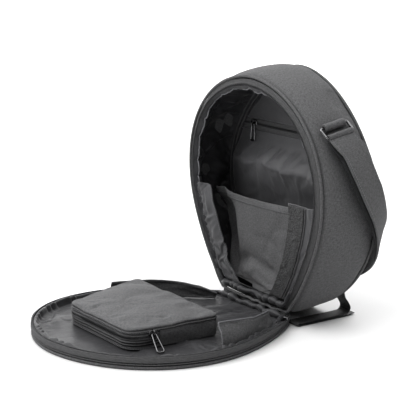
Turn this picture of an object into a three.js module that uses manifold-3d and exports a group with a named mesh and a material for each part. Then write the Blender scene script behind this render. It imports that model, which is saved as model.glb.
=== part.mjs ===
// A soft saddlebag, unzipped: the lid lies open on the floor and the shell stands on its hinge.
// Millimetres, +Z up. X runs along the hinge, the lid reaches towards -Y and the shell towards +Y.
// The origin is the middle of the lid's underside, where the bag rests.
import * as THREE from 'three';
import Module from 'manifold-3d';
import { mergeVertices } from 'three/addons/utils/BufferGeometryUtils.js';

// Driving dimensions
const MOUTH_HEIGHT = 360;
const HINGE_CUT = 52.6;
const HINGE_HEIGHT = 19;
const SHELL_DEPTH = 96;
const SHELL_HEIGHT = 390;
const WALL_THICKNESS = 3;
const WALL_BULGE = 4;
const CLOTH = 1.5;
const LINING = 1.2;
const CLEARANCE = 0.4;
const PIPING_RADIUS = 2.5;
const PIPING_GAP = 0.1;
const PIPING_SIDES = 5;
const SEAM_GAP = 0.6;
const LID_RIM_HEIGHT = 19;
const LID_RIM_AT_HINGE = 12;
const LID_PANEL_THICKNESS = 8;
const POUCH_TOP_HEIGHT = 40;
const HANDLE_WIDTH = 50;
const HANDLE_THICKNESS = 3;
const WEBBING_WIDTH = 25;
const WEBBING_THICKNESS = 1.6;
const ZIP_TAPE_WIDTH = 10.4;
const PULL_WIRE_RADIUS = 1;
const PULL_LENGTH = 30;
const PULL_WIDTH = 8;
const PULL_CORNER = 2.5;
const PULL_SIDES = 6;

// Outlines: an egg with a power curve, cut flat where the hinge runs
const MOUTH = {
  centreX: 0,
  halfWidth: 172.5,
  halfHeight: (MOUTH_HEIGHT + HINGE_CUT) / 2,
  taper: -0.256,
  power: 1.075,
  skew: 0.061,
  cut: HINGE_CUT,
};
const BACK = {
  centreX: 1.5,
  halfWidth: 190,
  halfHeight: SHELL_HEIGHT / 2,
  taper: 0.048,
  power: 1.095,
  skew: 0.023,
  cut: 0,
};
const SHELL_CORE_HEIGHT = 200;
const FLOOR_GAP = 0.3;
const WALL_LEVELS = [0.031, 0.25, 0.5, 0.75, 0.955];
const BACK_PIPING_SETBACK = 1.3;
const BACK_PANEL = { inside: 3.5, outside: 0.5, roll: 1.5, rollWidth: 8 };
const SHELL_TAPE = { seamY: -1.5, freeY: -5 };
const LID_CORE_Y = -170;
const LID_GROWTH = 1.025;
const HINGE_NARROWING = 0.55;
const LID_EDGE_Y = 2;
const HINGE_STEPS = 10;
const ARCH_STEPS = 50;
const HINGE_FADE_STEPS = 3;
const ANGLE_STEP = 0.02;
const MERGE_DISTANCE = 1e-4;
const LID_MIDDLE_Y = LID_EDGE_Y - (MOUTH_HEIGHT * LID_GROWTH) / 2;

// Folds of the shell's lining: place round the mouth, place in depth, spread, height and slant
const LINING_FOLDS = [
  { angle: 205, depth: 34, spread: 7, length: 26, height: 7, slant: 0.28 },
  { angle: 228, depth: 44, spread: 8, length: 30, height: 9, slant: -0.22 },
  { angle: 250, depth: 36, spread: 6, length: 28, height: 8, slant: 0.3 },
  { angle: 272, depth: 48, spread: 8, length: 24, height: 9, slant: -0.3 },
  { angle: 292, depth: 40, spread: 7, length: 26, height: 7, slant: 0.2 },
  { angle: 150, depth: 40, spread: 8, length: 26, height: 7, slant: -0.2 },
  { angle: 118, depth: 44, spread: 8, length: 30, height: 6, slant: 0.2 },
  { angle: 84, depth: 42, spread: 8, length: 28, height: 6, slant: -0.2 },
];
const GATHER_COUNT = 20;
const GATHER_HEIGHT = 2.4;
const HINGE_PINCH_DEPTH = 20;
const FOLD_FADE = { start: 4, end: 24 };

// Section of the shell's lining from the zip to the back: inset from the outline and depth
const LINING_SECTION = [
  { inset: 17, depth: -4.2, gather: 0 },
  { inset: 19, depth: 3, gather: 1 },
  { inset: 13, depth: 14, gather: 0.4 },
  { inset: 8, depth: 28, gather: 0 },
  { inset: 7, depth: 50, gather: 0 },
  { inset: 12, depth: 70, gather: 0 },
  { inset: 25, depth: 83, gather: 0 },
];

// Section of the lid's lining from the rim down to the floor of the tray: inset and height
const LID_LINING_SECTION = [
  { inset: 4, height: 18.2, gather: 0 },
  { inset: 9, height: 17.6, gather: 0.8 },
  { inset: 15, height: 12, gather: 0.5 },
  { inset: 26, height: 9.6, gather: 0 },
];
const LID_TRAY_FLOOR = LID_LINING_SECTION[3].height;
const LID_FLOOR_RING = 70;
const LID_TAPE_INSET = 1.2;

// Soft waves of the lid's lining: place across the lid, spread and height
const LID_WAVES = [
  { x: -95, y: -305, spread: 24, height: 3 },
  { x: 20, y: -318, spread: 26, height: 2.5 },
  { x: 70, y: -80, spread: 24, height: 2 },
  { x: -30, y: -70, spread: 30, height: 2.5 },
];

// Corners of the pouch on the lid, seen from above, with their rounding
const POUCH_CORNERS = [
  { x: -135, y: -133, radius: 10 },
  { x: -80, y: -288, radius: 26 },
  { x: 94, y: -284, radius: 26 },
  { x: 98, y: -133, radius: 10 },
];
const CORNER_STEPS = 5;
const POUCH_FLOOR = 10.7;
const POUCH_CROWN = 5;
const POUCH_CORE_Y = -215;
const POUCH_PIPING_RADIUS = 1.7;
const POUCH_TOP = { gap: 0.3, seat: 1, rings: [1, 0.72, 0.4] };
const POUCH_SLIT = 0.004;
const POUCH_ZIP_START = CORNER_STEPS + 0.8;
const POUCH_ZIP_END = 3 * CORNER_STEPS + 2 + 0.22;

// Middle line of the carrying handle from its ring to the back panel, and the turn of its width
const HANDLE_PATH = [
  { x: 181, y: 53, z: 281, turn: 0 },
  { x: 194, y: 58, z: 257, turn: 6 },
  { x: 204, y: 70, z: 221, turn: 12 },
  { x: 202, y: 87, z: 185, turn: 27 },
  { x: 190, y: 103, z: 155, turn: 38 },
  { x: 167, y: 113, z: 121, turn: 56 },
  { x: 140, y: 108, z: 101, turn: 76 },
  { x: 114, y: 99.6, z: 90, turn: 90 },
  { x: 96, y: 98.5, z: 85, turn: 90 },
];
const HANDLE_STEPS = 26;
const HANDLE_LEAD = 10;
const HANDLE_TURN_STATIONS = 4;

// Side view of the mounting webbing: sewn to the back panel, turned under the shell and folded back
const WEBBING_X = 100;
const WEBBING_PATH = [
  { y: 97.8, z: 58 },
  { y: 98, z: 46 },
  { y: 101, z: 32 },
  { y: 108, z: 22 },
  { y: 112, z: 13 },
  { y: 108, z: 6 },
  { y: 96, z: 4.6 },
  { y: 60, z: 4.6 },
  { y: 20, z: 4.6 },
  { y: 9, z: 4.4 },
  { y: 6.8, z: 2.8 },
  { y: 9, z: 1.2 },
  { y: 20, z: 1.1 },
  { y: 70, z: 1.1 },
  { y: 102, z: 1.2 },
  { y: 121, z: 3.2 },
];
const WEBBING_STEPS = 44;

// Zip pocket on the back of the compartment
const BACK_LINING_DEPTH = 84.4;
const BACK_LINING_INSET = 23;
const BACK_LINING_LEVEL = 0.88;
const POCKET_ZIP_LOW = 274;
const POCKET_ZIP_HIGH = 291;
const POCKET_PANEL_LOW = 32;
const POCKET_BULGE = 9;
const POCKET_TOP_HOLD = 1.02;
const BACK_LINING_MARGIN = 3;
const BACK_CLOTH_STEPS = { across: 10, top: 4, zip: 1, pocket: 11 };
const POCKET_SLIDER = { x: -108, lift: 2 };
const POCKET_FOLDS = [
  { x: -118, z: 215, spread: 16, height: 4 },
  { x: -90, z: 170, spread: 20, height: -4 },
  { x: 10, z: 225, spread: 45, height: 4 },
];

// Divider across the lower half of the compartment and its two side strips
const DIVIDER_TOP_LEFT = 173;
const DIVIDER_TOP_RIGHT = 188;
const DIVIDER_LOW = 37;
const DIVIDER_LEFT_DEPTHS = { low: 14, high: 42 };
const DIVIDER_RIGHT_DEPTH = 6.6;
const DIVIDER_BELLY = 8;
const DIVIDER_DEEP_ROW = { level: 0.4, inset: 22 };
const DIVIDER_NEAR_ROW = { level: 0.2, inset: 24.5 };
const DIVIDER_STEPS = { across: 12, along: 7 };
const STRIP_DEPTH = 4.6;
const STRIP_STEPS = { across: 3, along: 6 };
const LEFT_STRIP = { inset: 20.8, low: 37, high: 186, lowWidth: 38, highWidth: 38 };
const RIGHT_STRIP = { inset: 23.4, low: 37, high: 194, lowWidth: 36, highWidth: 58 };

// Upright side flaps on the lid: their ends, the power the top falls by, and how far they lean and shift in
const LID_FLAPS = [
  {
    name: 'lid_flap_near',
    side: 1,
    start: { y: -168, foot: 12.4, top: 50 },
    end: { y: -38, foot: 12.4, top: 30 },
    taper: 1,
    lean: 12,
    shift: 0,
  },
  {
    name: 'lid_flap_far',
    side: -1,
    start: { y: -168, foot: 12.4, top: 39.5 },
    end: { y: -29, foot: 10.4, top: 22 },
    taper: 6,
    lean: 6,
    shift: 27,
  },
];
const FLAP_INSET = 17;
const FLAP_WAVE = { height: 2, halves: 3 };
const FLAP_STEPS = { across: 3, along: 8 };

// Cloth hinge: its ends, its ripples and how far it stands in front of the hinge line
const HINGE_STRIP = { left: -74, right: 88, ripples: 7, height: 1.6, front: 0.9 };
const HINGE_STRIP_STEPS = { across: 2, along: 21 };

// Ring and tab that hold the handle's upper end
const RING_ANGLE = 131;
const RING_LEVEL = 0.42;
const RING_WIRE_RADIUS = 2.2;
const RING_LENGTH = 58;
const RING_BREADTH = 22;
const RING_LIFT = 3;
const RING_CORNER = 3;
const RING_SIDES = 8;
const RING_LEVEL_STEP = 0.1;
const TAB_OFF_WALL = 0.6;
const TAB_LENGTH = 40;
const FOLD_LENGTH = 48;
const TAB_RADIUS = 6;
const FOLD_RADIUS = 4.6;
const SLEEVE_SIDES = 10;
const WIRE_CORNER_STEPS = 3;

// Zip sliders
const SLIDER = { length: 14, height: 10, base: 2.4, post: 2, rise: 3.6, cap: 1.4, bridge: 4, sunk: 0.1 };
const POUCH_SLIDER = { y: -247, z: 33 };
const POUCH_PULL_LEAN = 45;
const MAIN_SLIDER = { step: 0.6, inset: 3, height: 6, length: 13, width: 8 };

// Finishes
const OUTER_CLOTH = new THREE.MeshStandardMaterial({ color: 0x4a4a4b, roughness: 0.92, metalness: 0 });
const LINING_CLOTH = new THREE.MeshStandardMaterial({ color: 0x3b3b3d, roughness: 0.6, metalness: 0 });
const TAPE_CLOTH = new THREE.MeshStandardMaterial({ color: 0x333334, roughness: 0.8, metalness: 0 });
const WEBBING_CLOTH = new THREE.MeshStandardMaterial({ color: 0x1d1d1e, roughness: 0.85, metalness: 0 });
const DARK_METAL = new THREE.MeshStandardMaterial({ color: 0x2a2a2c, roughness: 0.3, metalness: 1 });

const wasm = await Module();
wasm.setup();

const bag = new THREE.Group();
const hingeFrame = new THREE.Group();
hingeFrame.position.y = -LID_MIDDLE_Y;
bag.add(hingeFrame);

function addPiece(name, geometry, material) {
  const mesh = new THREE.Mesh(geometry, material);
  mesh.name = name;
  hingeFrame.add(mesh);
  return mesh;
}

function signedPower(value, power) {
  return Math.sign(value) * Math.abs(value) ** power;
}

function lerp(a, b, share) {
  return a + (b - a) * share;
}

function bell(distance, spread) {
  return Math.exp(-((distance / spread) ** 2));
}

// A point of an egg outline: x across, h above its foot
function eggPoint(egg, angle) {
  const drop = signedPower(Math.cos(angle), egg.power);
  const reach = signedPower(Math.sin(angle), egg.power) * (1 + egg.taper * drop);
  const x = egg.centreX + egg.halfWidth * (reach + egg.skew * drop);
  return { x, h: Math.max(egg.halfHeight * (1 - drop) - egg.cut, 0) };
}

// Angles round the outline: even steps along the hinge, then even steps over the arch
function outlineAngles() {
  const cosine = (1 - HINGE_CUT / MOUTH.halfHeight) ** (1 / MOUTH.power);
  const corner = Math.acos(cosine);
  const angles = [];
  for (let i = 0; i < HINGE_STEPS; i += 1) {
    angles.push(lerp(-corner, corner, i / HINGE_STEPS));
  }
  for (let i = 0; i < ARCH_STEPS; i += 1) {
    angles.push(lerp(corner, 2 * Math.PI - corner, i / ARCH_STEPS));
  }
  return angles;
}
const ANGLES = outlineAngles();
const LOOP = ANGLES.length;

// 1 along the hinge, fading to 0 over the arch
function hingeShare(index) {
  if (index <= HINGE_STEPS) {
    return 1;
  }
  return bell(Math.min(index - HINGE_STEPS, LOOP - index), HINGE_FADE_STEPS);
}

// Height of the lid's rim, lower along the hinge
function rimTop(index) {
  return lerp(LID_RIM_HEIGHT, LID_RIM_AT_HINGE, hingeShare(index));
}

// Linings and zips are narrower along the hinge
function hingeNarrow(index) {
  return lerp(1, HINGE_NARROWING, hingeShare(index));
}

// A point of the shell: level 0 at the mouth and 1 at the back, inset towards the core line
function shellPoint(angle, level, inset, y = level * SHELL_DEPTH) {
  const front = eggPoint(MOUTH, angle);
  const rear = eggPoint(BACK, angle);
  const bulge = WALL_BULGE * 4 * level * (1 - level);
  const x = lerp(front.x, rear.x, level);
  const z = lerp(HINGE_HEIGHT + front.h, rear.h, level) - SHELL_CORE_HEIGHT;
  const shrink = 1 - (inset - bulge) / Math.hypot(x, z);
  const height = Math.max(SHELL_CORE_HEIGHT + z * shrink, inset + FLOOR_GAP);
  return new THREE.Vector3(x * shrink, y, height);
}

// A point of the lid: the mouth's outline laid down on the floor, at a height
function lidPoint(angle, inset, height) {
  const mouth = eggPoint(MOUTH, angle);
  const x = mouth.x * LID_GROWTH;
  const y = LID_EDGE_Y - mouth.h * LID_GROWTH - LID_CORE_Y;
  const shrink = 1 - inset / Math.hypot(x, y);
  return new THREE.Vector3(x * shrink, LID_CORE_Y + y * shrink, height);
}

function shellRow(level, inset, y) {
  return ANGLES.map((angle) => shellPoint(angle, level, inset, y));
}

// Turns triangles into a geometry whose faces point outwards
function solidOf(points, triangles) {
  let volume = 0;
  for (const [a, b, c] of triangles) {
    volume += points[a].dot(new THREE.Vector3().crossVectors(points[b], points[c]));
  }
  const index = triangles.flatMap(([a, b, c]) => (volume > 0 ? [a, b, c] : [a, c, b]));
  const geometry = new THREE.BufferGeometry().setFromPoints(points);
  geometry.setIndex(index);
  geometry.computeVertexNormals();
  return geometry;
}

// A skin over rows of closed loops. ends: 'ring' joins the last row to the first, 'caps' closes each
// end loop as a flat strip, 'poles' closes each end with the point given.
function skin(rows, ends, poles = []) {
  const size = rows[0].length;
  const points = rows.flat();
  const triangles = [];
  const joins = ends === 'ring' ? rows.length : rows.length - 1;
  for (let r = 0; r < joins; r += 1) {
    const next = (r + 1) % rows.length;
    for (let i = 0; i < size; i += 1) {
      const j = (i + 1) % size;
      const [a, b, c, d] = [r * size + i, r * size + j, next * size + j, next * size + i];
      triangles.push([a, b, c], [a, c, d]);
    }
  }
  const last = (rows.length - 1) * size;
  if (ends === 'caps') {
    for (let i = 0; i < size / 2 - 1; i += 1) {
      const [a, b, c, d] = [i, i + 1, size - 2 - i, size - 1 - i];
      triangles.push([b, a, d], [b, d, c]);
      triangles.push([last + a, last + b, last + c], [last + a, last + c, last + d]);
    }
  }
  if (ends === 'poles') {
    points.push(...poles);
    for (let i = 0; i < size; i += 1) {
      const j = (i + 1) % size;
      triangles.push([j, i, points.length - 2], [last + i, last + j, points.length - 1]);
    }
  }
  return solidOf(points, triangles);
}

// A closed band: outer rows, then inner rows back again
function band(outerRows, innerRows) {
  return skin([...outerRows, ...innerRows.slice().reverse()], 'ring');
}

// A sheet with thickness: face(u, v) on the front and back(u, v) behind it
function sheet(face, back, acrossSteps, alongSteps) {
  const rows = [];
  for (let j = 0; j <= alongSteps; j += 1) {
    const front = [];
    const rear = [];
    for (let i = 0; i <= acrossSteps; i += 1) {
      front.push(face(i / acrossSteps, j / alongSteps));
      rear.push(back(i / acrossSteps, j / alongSteps));
    }
    rows.push([...front, ...rear.reverse()]);
  }
  return skin(rows, 'caps');
}

// A round cord that follows a closed row of points lying square to up
function cordRing(row, up, radius, sides) {
  const rows = [];
  for (let k = 0; k < sides; k += 1) {
    const angle = (2 * Math.PI * k) / sides;
    rows.push(
      row.map((point, i) => {
        const ahead = row[(i + 1) % row.length];
        const behind = row[(i + row.length - 1) % row.length];
        const aside = ahead.clone().sub(behind).cross(up).normalize();
        return point
          .clone()
          .addScaledVector(aside, radius * Math.cos(angle))
          .addScaledVector(up, radius * Math.sin(angle));
      }),
    );
  }
  return skin(rows, 'ring');
}

// A flat ribbon along a curve: widths[i] is the unit vector across it
function ribbon(points, widths, width, thickness) {
  const rows = points.map((point, i) => {
    const ahead = points[Math.min(i + 1, points.length - 1)];
    const behind = points[Math.max(i - 1, 0)];
    const along = ahead.clone().sub(behind).normalize();
    const normal = new THREE.Vector3().crossVectors(along, widths[i]).normalize();
    const corner = (across, out) =>
      point
        .clone()
        .addScaledVector(widths[i], (across * width) / 2)
        .addScaledVector(normal, (out * thickness) / 2);
    return [corner(-1, 1), corner(1, 1), corner(1, -1), corner(-1, -1)];
  });
  return skin(rows, 'caps');
}

function toManifold(geometry) {
  const bare = geometry.clone();
  bare.deleteAttribute('normal');
  bare.deleteAttribute('uv');
  const merged = mergeVertices(bare, MERGE_DISTANCE);
  const vertProperties = new Float32Array(merged.attributes.position.array);
  const triVerts = new Uint32Array(merged.index.array);
  return new wasm.Manifold(new wasm.Mesh({ numProp: 3, vertProperties, triVerts }));
}

function fromManifold(solid) {
  const mesh = solid.getMesh();
  const geometry = new THREE.BufferGeometry();
  geometry.setAttribute('position', new THREE.BufferAttribute(new Float32Array(mesh.vertProperties), 3));
  geometry.setIndex(new THREE.BufferAttribute(new Uint32Array(mesh.triVerts), 1));
  geometry.computeVertexNormals();
  return geometry;
}

// The left and right ends of a closed row at a height, or just above its lowest point
function spanAt(row, height) {
  const margin = 1;
  const lowest = Math.min(...row.map((point) => point.z));
  const level = Math.max(height, lowest + margin);
  const hits = [];
  row.forEach((point, i) => {
    const next = row[(i + 1) % row.length];
    if (point.z > level !== next.z > level) {
      hits.push(lerp(point.x, next.x, (level - point.z) / (next.z - point.z)));
    }
  });
  return { left: Math.min(...hits), right: Math.max(...hits) };
}

const UP = new THREE.Vector3(0, 0, 1);
const BACKWARD = new THREE.Vector3(0, 1, 0);
const PIPING_INSET = PIPING_RADIUS + PIPING_GAP;
const SEAM_INSET = 2 * PIPING_RADIUS + SEAM_GAP;

// Shell wall: a padded band from the mouth to the back
function makeShellWall() {
  const outer = WALL_LEVELS.map((level) => shellRow(level, 0));
  const inner = WALL_LEVELS.map((level) => shellRow(level, WALL_THICKNESS));
  addPiece('shell_wall', band(outer, inner), OUTER_CLOTH);
}

function makeShellPiping() {
  const front = shellRow(0, PIPING_INSET, 0);
  addPiece('mouth_piping', cordRing(front, BACKWARD, PIPING_RADIUS, PIPING_SIDES), OUTER_CLOTH);
  const rear = shellRow(1, PIPING_INSET, SHELL_DEPTH - BACK_PIPING_SETBACK);
  addPiece('back_piping', cordRing(rear, BACKWARD, PIPING_RADIUS, PIPING_SIDES), OUTER_CLOTH);
}

// Back panel: a flat disc whose outer edge is rolled down to the piping
function makeBackPanel() {
  const inside = SHELL_DEPTH - BACK_PANEL.inside;
  const outside = SHELL_DEPTH + BACK_PANEL.outside;
  const rows = [
    shellRow(1, SEAM_INSET, inside),
    shellRow(1, SEAM_INSET, outside - BACK_PANEL.roll),
    shellRow(1, SEAM_INSET + BACK_PANEL.rollWidth, outside),
  ];
  const poles = [inside, outside].map((y) => new THREE.Vector3(0, y, SHELL_CORE_HEIGHT));
  addPiece('back_panel', skin(rows, 'poles', poles), OUTER_CLOTH);
}

// Half of the main zip round the mouth, leaning forwards and in from the piping
function makeShellZipTape() {
  const free = (y) =>
    ANGLES.map((angle, i) => shellPoint(angle, 0, SEAM_INSET + ZIP_TAPE_WIDTH * hingeNarrow(i), y));
  const { seamY, freeY } = SHELL_TAPE;
  const outer = [shellRow(0, SEAM_INSET, seamY), free(freeY)];
  const inner = [shellRow(0, SEAM_INSET, seamY + LINING), free(freeY + LINING)];
  addPiece('shell_zip_tape', band(outer, inner), TAPE_CLOTH);
}

// How far the lining stands in at an angle and depth because of its folds
function liningFold(angle, depth) {
  const degrees = THREE.MathUtils.radToDeg(angle);
  let rise = 0;
  for (const fold of LINING_FOLDS) {
    const away = degrees - fold.angle - fold.slant * (depth - fold.depth);
    rise += fold.height * bell(away, fold.spread) * bell(depth - fold.depth, fold.length);
  }
  return rise * THREE.MathUtils.smoothstep(depth, FOLD_FADE.start, FOLD_FADE.end);
}

function gatherWave(index) {
  return Math.cos((2 * Math.PI * GATHER_COUNT * index) / LOOP);
}

function makeShellLining() {
  const rowAt = (station, extra) =>
    ANGLES.map((angle, i) => {
      const ruffle = GATHER_HEIGHT * station.gather * gatherWave(i);
      const pinch = station.depth < HINGE_PINCH_DEPTH ? hingeNarrow(i) : 1;
      const reach = SEAM_INSET + (station.inset - SEAM_INSET) * pinch;
      const inset = reach + ruffle + liningFold(angle, station.depth) + extra;
      const level = Math.max(station.depth, 0) / SHELL_DEPTH;
      return shellPoint(angle, level, inset, station.depth);
    });
  const outer = LINING_SECTION.map((station) => rowAt(station, 0));
  const inner = LINING_SECTION.map((station) => rowAt(station, LINING));
  addPiece('shell_lining', band(outer, inner), LINING_CLOTH);
}

// Upright cloth across the back of the compartment between two heights, bulging forwards
function backCloth(low, high, bulgeAt, alongSteps) {
  const row = shellRow(BACK_LINING_LEVEL, BACK_LINING_INSET, BACK_LINING_DEPTH);
  const place = (u, v, behind) => {
    const z = lerp(low, high, v);
    const { left, right } = spanAt(row, z);
    const x = lerp(left, right, u);
    return new THREE.Vector3(x, BACK_LINING_DEPTH - bulgeAt(x, z, u, v) + behind, z);
  };
  return sheet(
    (u, v) => place(u, v, 0),
    (u, v) => place(u, v, CLOTH),
    BACK_CLOTH_STEPS.across,
    alongSteps,
  );
}

function makeBackPocket() {
  const row = shellRow(BACK_LINING_LEVEL, BACK_LINING_INSET, BACK_LINING_DEPTH);
  const top = Math.max(...row.map((point) => point.z)) - BACK_LINING_MARGIN;
  const flat = () => 0;
  const upper = backCloth(POCKET_ZIP_HIGH + CLEARANCE, top, flat, BACK_CLOTH_STEPS.top);
  addPiece('back_lining_top', upper, LINING_CLOTH);
  const zip = backCloth(POCKET_ZIP_LOW, POCKET_ZIP_HIGH, flat, BACK_CLOTH_STEPS.zip);
  addPiece('pocket_zip', zip, TAPE_CLOTH);
  const bulge = (x, z, u, v) => {
    const folds = POCKET_FOLDS.reduce(
      (sum, fold) => sum + fold.height * bell(Math.hypot(x - fold.x, z - fold.z), fold.spread),
      0,
    );
    const hold = Math.sin(Math.PI * u) * Math.sin(Math.PI * Math.min(v * POCKET_TOP_HOLD, 1));
    return Math.max(POCKET_BULGE * Math.sqrt(hold) + folds * hold, 0);
  };
  const high = POCKET_ZIP_LOW - CLEARANCE;
  const panel = backCloth(POCKET_PANEL_LOW, high, bulge, BACK_CLOTH_STEPS.pocket);
  addPiece('pocket_panel', panel, LINING_CLOTH);
}

// Divider: a cloth wall that starts deep on the left and comes forward to the right strip
function makeDivider() {
  const deepRow = shellRow(DIVIDER_DEEP_ROW.level, DIVIDER_DEEP_ROW.inset, 0);
  const nearRow = shellRow(DIVIDER_NEAR_ROW.level, DIVIDER_NEAR_ROW.inset, 0);
  const place = (u, v, behind) => {
    const z = lerp(DIVIDER_LOW, lerp(DIVIDER_TOP_LEFT, DIVIDER_TOP_RIGHT, u), v);
    const near = spanAt(nearRow, z);
    const left = lerp(near.left, spanAt(deepRow, z).left, v);
    const leftDepth = lerp(DIVIDER_LEFT_DEPTHS.low, DIVIDER_LEFT_DEPTHS.high, v);
    const run = Math.sin((Math.PI / 2) * u);
    const belly = DIVIDER_BELLY * Math.sin(Math.PI * u) * Math.sin(Math.PI * v);
    const depth = lerp(leftDepth, DIVIDER_RIGHT_DEPTH, run) + belly + behind;
    return new THREE.Vector3(lerp(left, near.right, u), depth, z);
  };
  const panel = sheet(
    (u, v) => place(u, v, 0),
    (u, v) => place(u, v, CLOTH),
    DIVIDER_STEPS.across,
    DIVIDER_STEPS.along,
  );
  addPiece('divider_panel', panel, OUTER_CLOTH);
  makeStrip('divider_strip_left', LEFT_STRIP, -1);
  makeStrip('divider_strip_right', RIGHT_STRIP, 1);
}

// Flat strip along one side of the mouth, behind the zip
function makeStrip(name, strip, side) {
  const row = shellRow(0, strip.inset, 0);
  const place = (u, v, behind) => {
    const z = lerp(strip.low, strip.high, v);
    const { left, right } = spanAt(row, z);
    const width = lerp(strip.lowWidth, strip.highWidth, v);
    const edge = side > 0 ? right : left;
    return new THREE.Vector3(edge - side * width * u, STRIP_DEPTH + behind, z);
  };
  const geometry = sheet(
    (u, v) => place(u, v, 0),
    (u, v) => place(u, v, CLOTH),
    STRIP_STEPS.across,
    STRIP_STEPS.along,
  );
  addPiece(name, geometry, OUTER_CLOTH);
}

function makeLid() {
  const ringAt = (inset, height) => ANGLES.map((angle) => lidPoint(angle, inset, height));
  const panelRows = [ringAt(SEAM_INSET, 0), ringAt(SEAM_INSET, LID_PANEL_THICKNESS)];
  const panelPoles = [0, LID_PANEL_THICKNESS].map((z) => new THREE.Vector3(0, LID_CORE_Y, z));
  addPiece('lid_panel', skin(panelRows, 'poles', panelPoles), OUTER_CLOTH);
  const pipingRow = ringAt(PIPING_INSET, PIPING_RADIUS);
  addPiece('lid_piping', cordRing(pipingRow, UP, PIPING_RADIUS, PIPING_SIDES), OUTER_CLOTH);
  const foot = 2 * PIPING_RADIUS + CLEARANCE;
  const rimRow = (inset) => ANGLES.map((angle, i) => lidPoint(angle, inset, rimTop(i)));
  const inside = LID_TAPE_INSET + CLOTH;
  const outer = [ringAt(LID_TAPE_INSET, foot), rimRow(LID_TAPE_INSET)];
  const inner = [ringAt(inside, foot), rimRow(inside)];
  addPiece('lid_zip_tape', band(outer, inner), TAPE_CLOTH);
  makeLidLining();
}

function lidWave(point) {
  return LID_WAVES.reduce(
    (sum, wave) => sum + wave.height * bell(Math.hypot(point.x - wave.x, point.y - wave.y), wave.spread),
    0,
  );
}

function makeLidLining() {
  const rowAt = (station, extra) =>
    ANGLES.map((angle, i) => {
      const ruffle = GATHER_HEIGHT * station.gather * gatherWave(i);
      const share = station.height / LID_RIM_HEIGHT;
      const lowered = lerp(station.height, rimTop(i) * share, share);
      const height = Math.max(lowered, LID_TRAY_FLOOR);
      const point = lidPoint(angle, station.inset + ruffle, height + extra);
      point.z += station.gather > 0 ? 0 : lidWave(point) * (1 - share);
      return point;
    });
  const floorRing = (inset, extra) =>
    ANGLES.map((angle) => {
      const point = lidPoint(angle, inset, LID_TRAY_FLOOR + extra);
      point.z += lidWave(point);
      return point;
    });
  const lower = floorRing(LID_FLOOR_RING, -LINING);
  const upper = floorRing(LID_FLOOR_RING, 0);
  const rows = [
    lower,
    ...LID_LINING_SECTION.slice().reverse().map((station) => rowAt(station, -LINING)),
    ...LID_LINING_SECTION.map((station) => rowAt(station, 0)),
    upper,
  ];
  const poles = [LID_TRAY_FLOOR - LINING, LID_TRAY_FLOOR].map((z) => new THREE.Vector3(0, LID_CORE_Y, z));
  addPiece('lid_lining', skin(rows, 'poles', poles), LINING_CLOTH);
}

// Rounded corners of the pouch, the same number of points at any inset
function pouchRow(inset, height) {
  const row = [];
  POUCH_CORNERS.forEach((corner, i) => {
    const before = POUCH_CORNERS[(i + POUCH_CORNERS.length - 1) % POUCH_CORNERS.length];
    const after = POUCH_CORNERS[(i + 1) % POUCH_CORNERS.length];
    const here = new THREE.Vector2(corner.x, corner.y);
    const inward = new THREE.Vector2(before.x, before.y).sub(here).normalize();
    const onward = new THREE.Vector2(after.x, after.y).sub(here).normalize();
    const half = Math.acos(inward.dot(onward)) / 2;
    const middle = inward.clone().add(onward).normalize();
    const centre = here.clone().addScaledVector(middle, corner.radius / Math.sin(half));
    const start = inward.clone().rotateAround(new THREE.Vector2(), Math.PI / 2);
    const sweep = Math.PI - 2 * half;
    for (let k = 0; k <= CORNER_STEPS; k += 1) {
      const turned = start.clone().rotateAround(new THREE.Vector2(), (sweep * k) / CORNER_STEPS);
      const point = centre.clone().addScaledVector(turned, corner.radius - inset);
      row.push(new THREE.Vector3(point.x, point.y, height));
    }
  });
  return row;
}

// Upright wall along part of the pouch's outline, from one share of a side to another
function pouchWall(first, last, thickness) {
  const count = POUCH_CORNERS.length * (CORNER_STEPS + 1);
  const corners = [
    { inset: 0, height: POUCH_FLOOR },
    { inset: 0, height: POUCH_TOP_HEIGHT },
    { inset: thickness, height: POUCH_TOP_HEIGHT },
    { inset: thickness, height: POUCH_FLOOR },
  ];
  const rings = corners.map((corner) => pouchRow(corner.inset, corner.height));
  const places = [first];
  for (let place = Math.floor(first) + 1; place < last; place += 1) {
    places.push(place);
  }
  places.push(last);
  const rows = places.map((place) => {
    const before = Math.floor(place);
    return rings.map((ring) =>
      ring[before % count].clone().lerp(ring[(before + 1) % count], place - before),
    );
  });
  return skin(rows, 'caps');
}

function makePouch() {
  const count = POUCH_CORNERS.length * (CORNER_STEPS + 1);
  addPiece('pouch_zip', pouchWall(POUCH_ZIP_START, POUCH_ZIP_END, CLOTH), TAPE_CLOTH);
  const gusset = pouchWall(POUCH_ZIP_END + POUCH_SLIT, count + POUCH_ZIP_START - POUCH_SLIT, CLOTH);
  addPiece('pouch_gusset', gusset, OUTER_CLOTH);
  const seam = pouchRow(POUCH_PIPING_RADIUS, POUCH_TOP_HEIGHT + CLEARANCE + POUCH_PIPING_RADIUS);
  addPiece('pouch_piping', cordRing(seam, UP, POUCH_PIPING_RADIUS, PIPING_SIDES), OUTER_CLOTH);
  const edge = 2 * POUCH_PIPING_RADIUS + POUCH_TOP.gap;
  const seat = POUCH_TOP_HEIGHT + POUCH_TOP.seat;
  const crowned = (share, extra) => seat + POUCH_CROWN * (1 - share * share) + extra;
  const ringAt = (share, extra) =>
    pouchRow(edge, 0).map((point) =>
      new THREE.Vector3(point.x * share, lerp(POUCH_CORE_Y, point.y, share), crowned(share, extra)),
    );
  const rows = [
    ...POUCH_TOP.rings.slice().reverse().map((share) => ringAt(share, 0)),
    ...POUCH_TOP.rings.map((share) => ringAt(share, CLOTH)),
  ];
  const poles = [0, CLOTH].map((extra) => new THREE.Vector3(0, POUCH_CORE_Y, crowned(0, extra)));
  addPiece('pouch_top', skin(rows, 'poles', poles), OUTER_CLOTH);
}

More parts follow.
